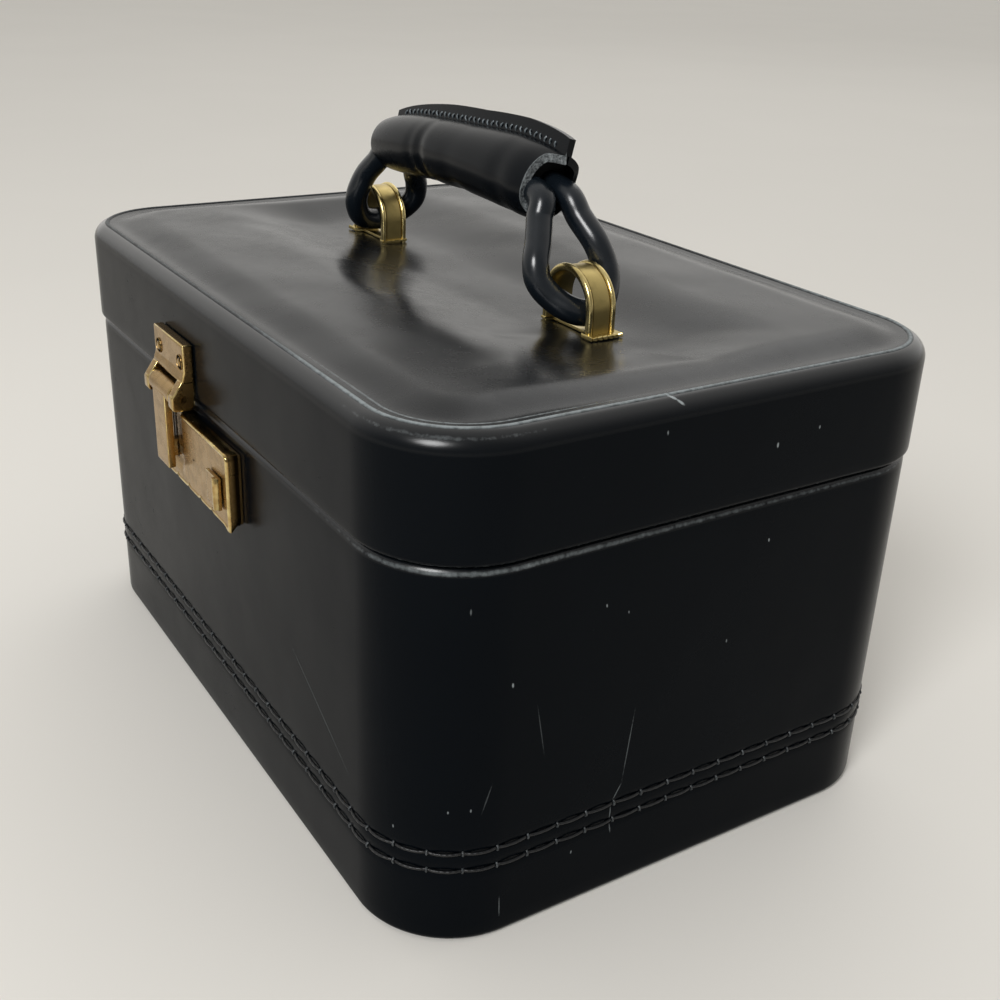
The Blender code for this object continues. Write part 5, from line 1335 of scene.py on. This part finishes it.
class VANITY_OT_lining(bpy.types.Operator):
    """Rayon lining of body and lid, the floor cushion and the gathered pocket."""
    bl_idname = "vanity_case.lining"
    bl_label = "Lining, cushion and pocket"

    def execute(self, context):
        settings = context.scene.vanity_lining
        look = rayon_lining(settings, "woven_rayon_lining")
        # Heights of the flat's outer and inner face and of the edge of its walls, and points up a wall
        for place, body, size, outer, inner, edge, steps in (
                ("body", "case_body", CASE_SIZE, LINING_FLOOR - LINING, LINING_FLOOR,
                 RIM_HEIGHT - TURN_DEPTH - FIT, 14),
                ("lid", "lid", LID_SIZE, LID_LINING_TOP, LID_LINING_UNDER, SEAM + TURN_DEPTH + FIT, 6)):
            profile = [(SKIN_OUT + LINING_FLAT, outer), (SKIN_OUT, outer), (SKIN_OUT, edge)]
            profile += [(LINING_IN, height) for height in np.linspace(edge, inner, steps)]
            profile += [(LINING_IN + LINING_FLAT, inner)]
            rows = wrap_rows(size, profile, LINING_STEPS, LINING_RUN)
            put("lining_" + place, [loft(rows)], look, body, "lining", [place + "_lining"], sharp=50)
        add_cushion(look)
        add_pocket(look, settings.gathers)
        return {"FINISHED"}


class VANITY_OT_fittings(bpy.types.Operator):
    """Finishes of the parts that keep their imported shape."""
    bl_idname = "vanity_case.fittings"
    bl_label = "Packed fittings"

    def execute(self, context):
        by_slot = {"brass": gilt_brass(context.scene.vanity_brass, "gilt_brass_fittings"),
                   "steel": plated_steel("nickel_plated_steel"), "mirror": silvered_glass("silvered_glass"),
                   # Pressed wood-fibre board: matt brown with mottled fibres
                   "board": mottled("pressed_fibreboard", 0.0015, "6B5239", "A1815C", 0.85),
                   "lining": rayon_lining(context.scene.vanity_lining, "rayon_covered_collar")}
        for node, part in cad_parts.items():
            if part.hide_render:
                continue
            part.data.materials.clear()
            part.data.materials.append(by_slot[node_slot(node)])
        return {"FINISHED"}


def node_slot(node):
    """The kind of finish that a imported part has."""
    if "board" in node:
        return "board"
    if node == "mirror":
        return "mirror"
    if node == "rim_collar":
        return "lining"
    if node.startswith(("hinge_pin", "lock_bolt", "bolt_spring", "staple_backing", "lock_inner")):
        return "steel"
    return "brass"


# Stage
def add_floor(scene, colour):
    """Plain floor of matt paint, very slightly uneven."""
    material, add, finish, place = start_material("plain_floor")
    cloud = add("TexNoise", {"Vector": place, "Scale": 3.0, "Detail": 2.0})
    tone = add("MixRGB", [cloud, colour, tinted(colour, 0.96)])
    finish({"Base Color": tone, "Roughness": 0.8})
    rows = [[(reach * math.cos(turn), reach * math.sin(turn), z) for turn in
             np.linspace(0, 2 * math.pi, 64, endpoint=False)] for reach, z in ((9, -0.02), (9, 0.0))]
    floor = bpy.data.objects.new("floor", make_mesh("floor", [loft(rows)], sharp=40))
    scene.collection.objects.link(floor)
    floor.data.materials.append(material)


def add_surroundings(scene):
    """Pale room: brightest behind and to the left, darkest to the right of the front."""
    world = bpy.data.worlds.new("studio_surroundings")
    scene.world = world
    world.use_nodes = True
    tree = world.node_tree
    way = add_node(tree, "TexCoord").outputs["Generated"]
    facing = add_node(tree, "VectorMath", [way, (-0.80, 0.45, 0.40)], operation="DOT_PRODUCT")
    level = add_node(tree, "MapRange", [facing.outputs["Value"], -0.3, 0.95, 0.28, 1.10])
    wire(tree, tree.nodes["Background"], {"Color": linear("F4F2EE"), "Strength": level})


def add_lamps(scene, power):
    """Soft main lamp in front and to the right, and a weak one behind."""
    for title, spot, size, share in (("main_lamp", (0.95, -1.45, 1.4), 0.8, 1.0),
                                     ("rear_lamp", (-1.5, 1.9, 2.3), 1.8, 0.2)):
        lamp = bpy.data.lights.new(title, "AREA")
        lamp.shape = "DISK"
        lamp.size = size
        lamp.energy = power * share
        holder = bpy.data.objects.new(title, lamp)
        scene.collection.objects.link(holder)
        holder.location = spot
        holder.rotation_euler = (Vector((0, 0, 0.1)) - Vector(spot)).to_track_quat("-Z", "Y").to_euler()


def add_camera(scene):
    """The camera of the photograph."""
    turn, rise, roll = map(math.radians, CAMERA_TURNS)
    ahead = Vector((-math.sin(turn) * math.cos(rise), math.cos(turn) * math.cos(rise), -math.sin(rise)))
    right = ahead.cross(Vector((0, 0, 1))).normalized()
    up = right.cross(ahead)
    level_right = math.cos(roll) * right + math.sin(roll) * up
    level_up = -math.sin(roll) * right + math.cos(roll) * up
    lens = bpy.data.cameras.new("photo_camera")
    lens.lens = CAMERA_LENS
    lens.sensor_width = 36
    lens.clip_start = 0.01
    camera = bpy.data.objects.new("photo_camera", lens)
    scene.collection.objects.link(camera)
    place = Matrix((level_right, level_up, -ahead)).transposed().to_4x4()
    camera.matrix_world = Matrix.Translation(CAMERA_PLACE) @ place
    scene.camera = camera


class VANITY_OT_stage(bpy.types.Operator):
    """Plain pale floor, soft lamps, surroundings and the camera."""
    bl_idname = "vanity_case.stage"
    bl_label = "Studio stage"

    def execute(self, context):
        settings = context.scene.vanity_stage
        scene = context.scene
        add_floor(scene, settings.floor_colour)
        add_surroundings(scene)
        add_lamps(scene, settings.lamp_power)
        add_camera(scene)
        scene.view_settings.view_transform = "Standard"
        return {"FINISHED"}


OPERATORS = (VANITY_OT_stage, VANITY_OT_body_skin, VANITY_OT_base_stitching, VANITY_OT_lid_skin,
             VANITY_OT_lid_panel, VANITY_OT_handle_cord, VANITY_OT_handle_grip, VANITY_OT_staples,
             VANITY_OT_latch, VANITY_OT_lock, VANITY_OT_lining, VANITY_OT_fittings)


class VANITY_PT_pieces(bpy.types.Panel):
    """Lists the pieces and their settings in the 3D view's sidebar."""
    bl_idname = "VANITY_PT_pieces"
    bl_label = "Vanity case"
    bl_space_type = "VIEW_3D"
    bl_region_type = "UI"
    bl_category = "Vanity case"

    def draw(self, context):
        for name, group in SETTINGS.items():
            box = self.layout.box()
            for key in group.__annotations__:
                box.prop(getattr(context.scene, name), key)
        for operator in OPERATORS:
            self.layout.operator(operator.bl_idname)


SETTINGS = {"vanity_leather": LeatherSettings, "vanity_stitch": StitchSettings,
            "vanity_brass": BrassSettings, "vanity_lining": LiningSettings, "vanity_stage": StageSettings}


def register():
    """Register the settings, the operators and the panel."""
    for name, group in SETTINGS.items():
        bpy.utils.register_class(group)
        setattr(bpy.types.Scene, name, bpy.props.PointerProperty(type=group))
    for item in (*OPERATORS, VANITY_PT_pieces):
        bpy.utils.register_class(item)


def unregister():
    """Take away what register added."""
    for item in (VANITY_PT_pieces, *reversed(OPERATORS)):
        bpy.utils.unregister_class(item)
    for name, group in SETTINGS.items():
        delattr(bpy.types.Scene, name)
        bpy.utils.unregister_class(group)


def main():
    """Make every piece in order."""
    register()
    for operator in OPERATORS:
        group, name = operator.bl_idname.split(".")
        getattr(getattr(bpy.ops, group), name)()


if __name__ == "__main__":
    main()
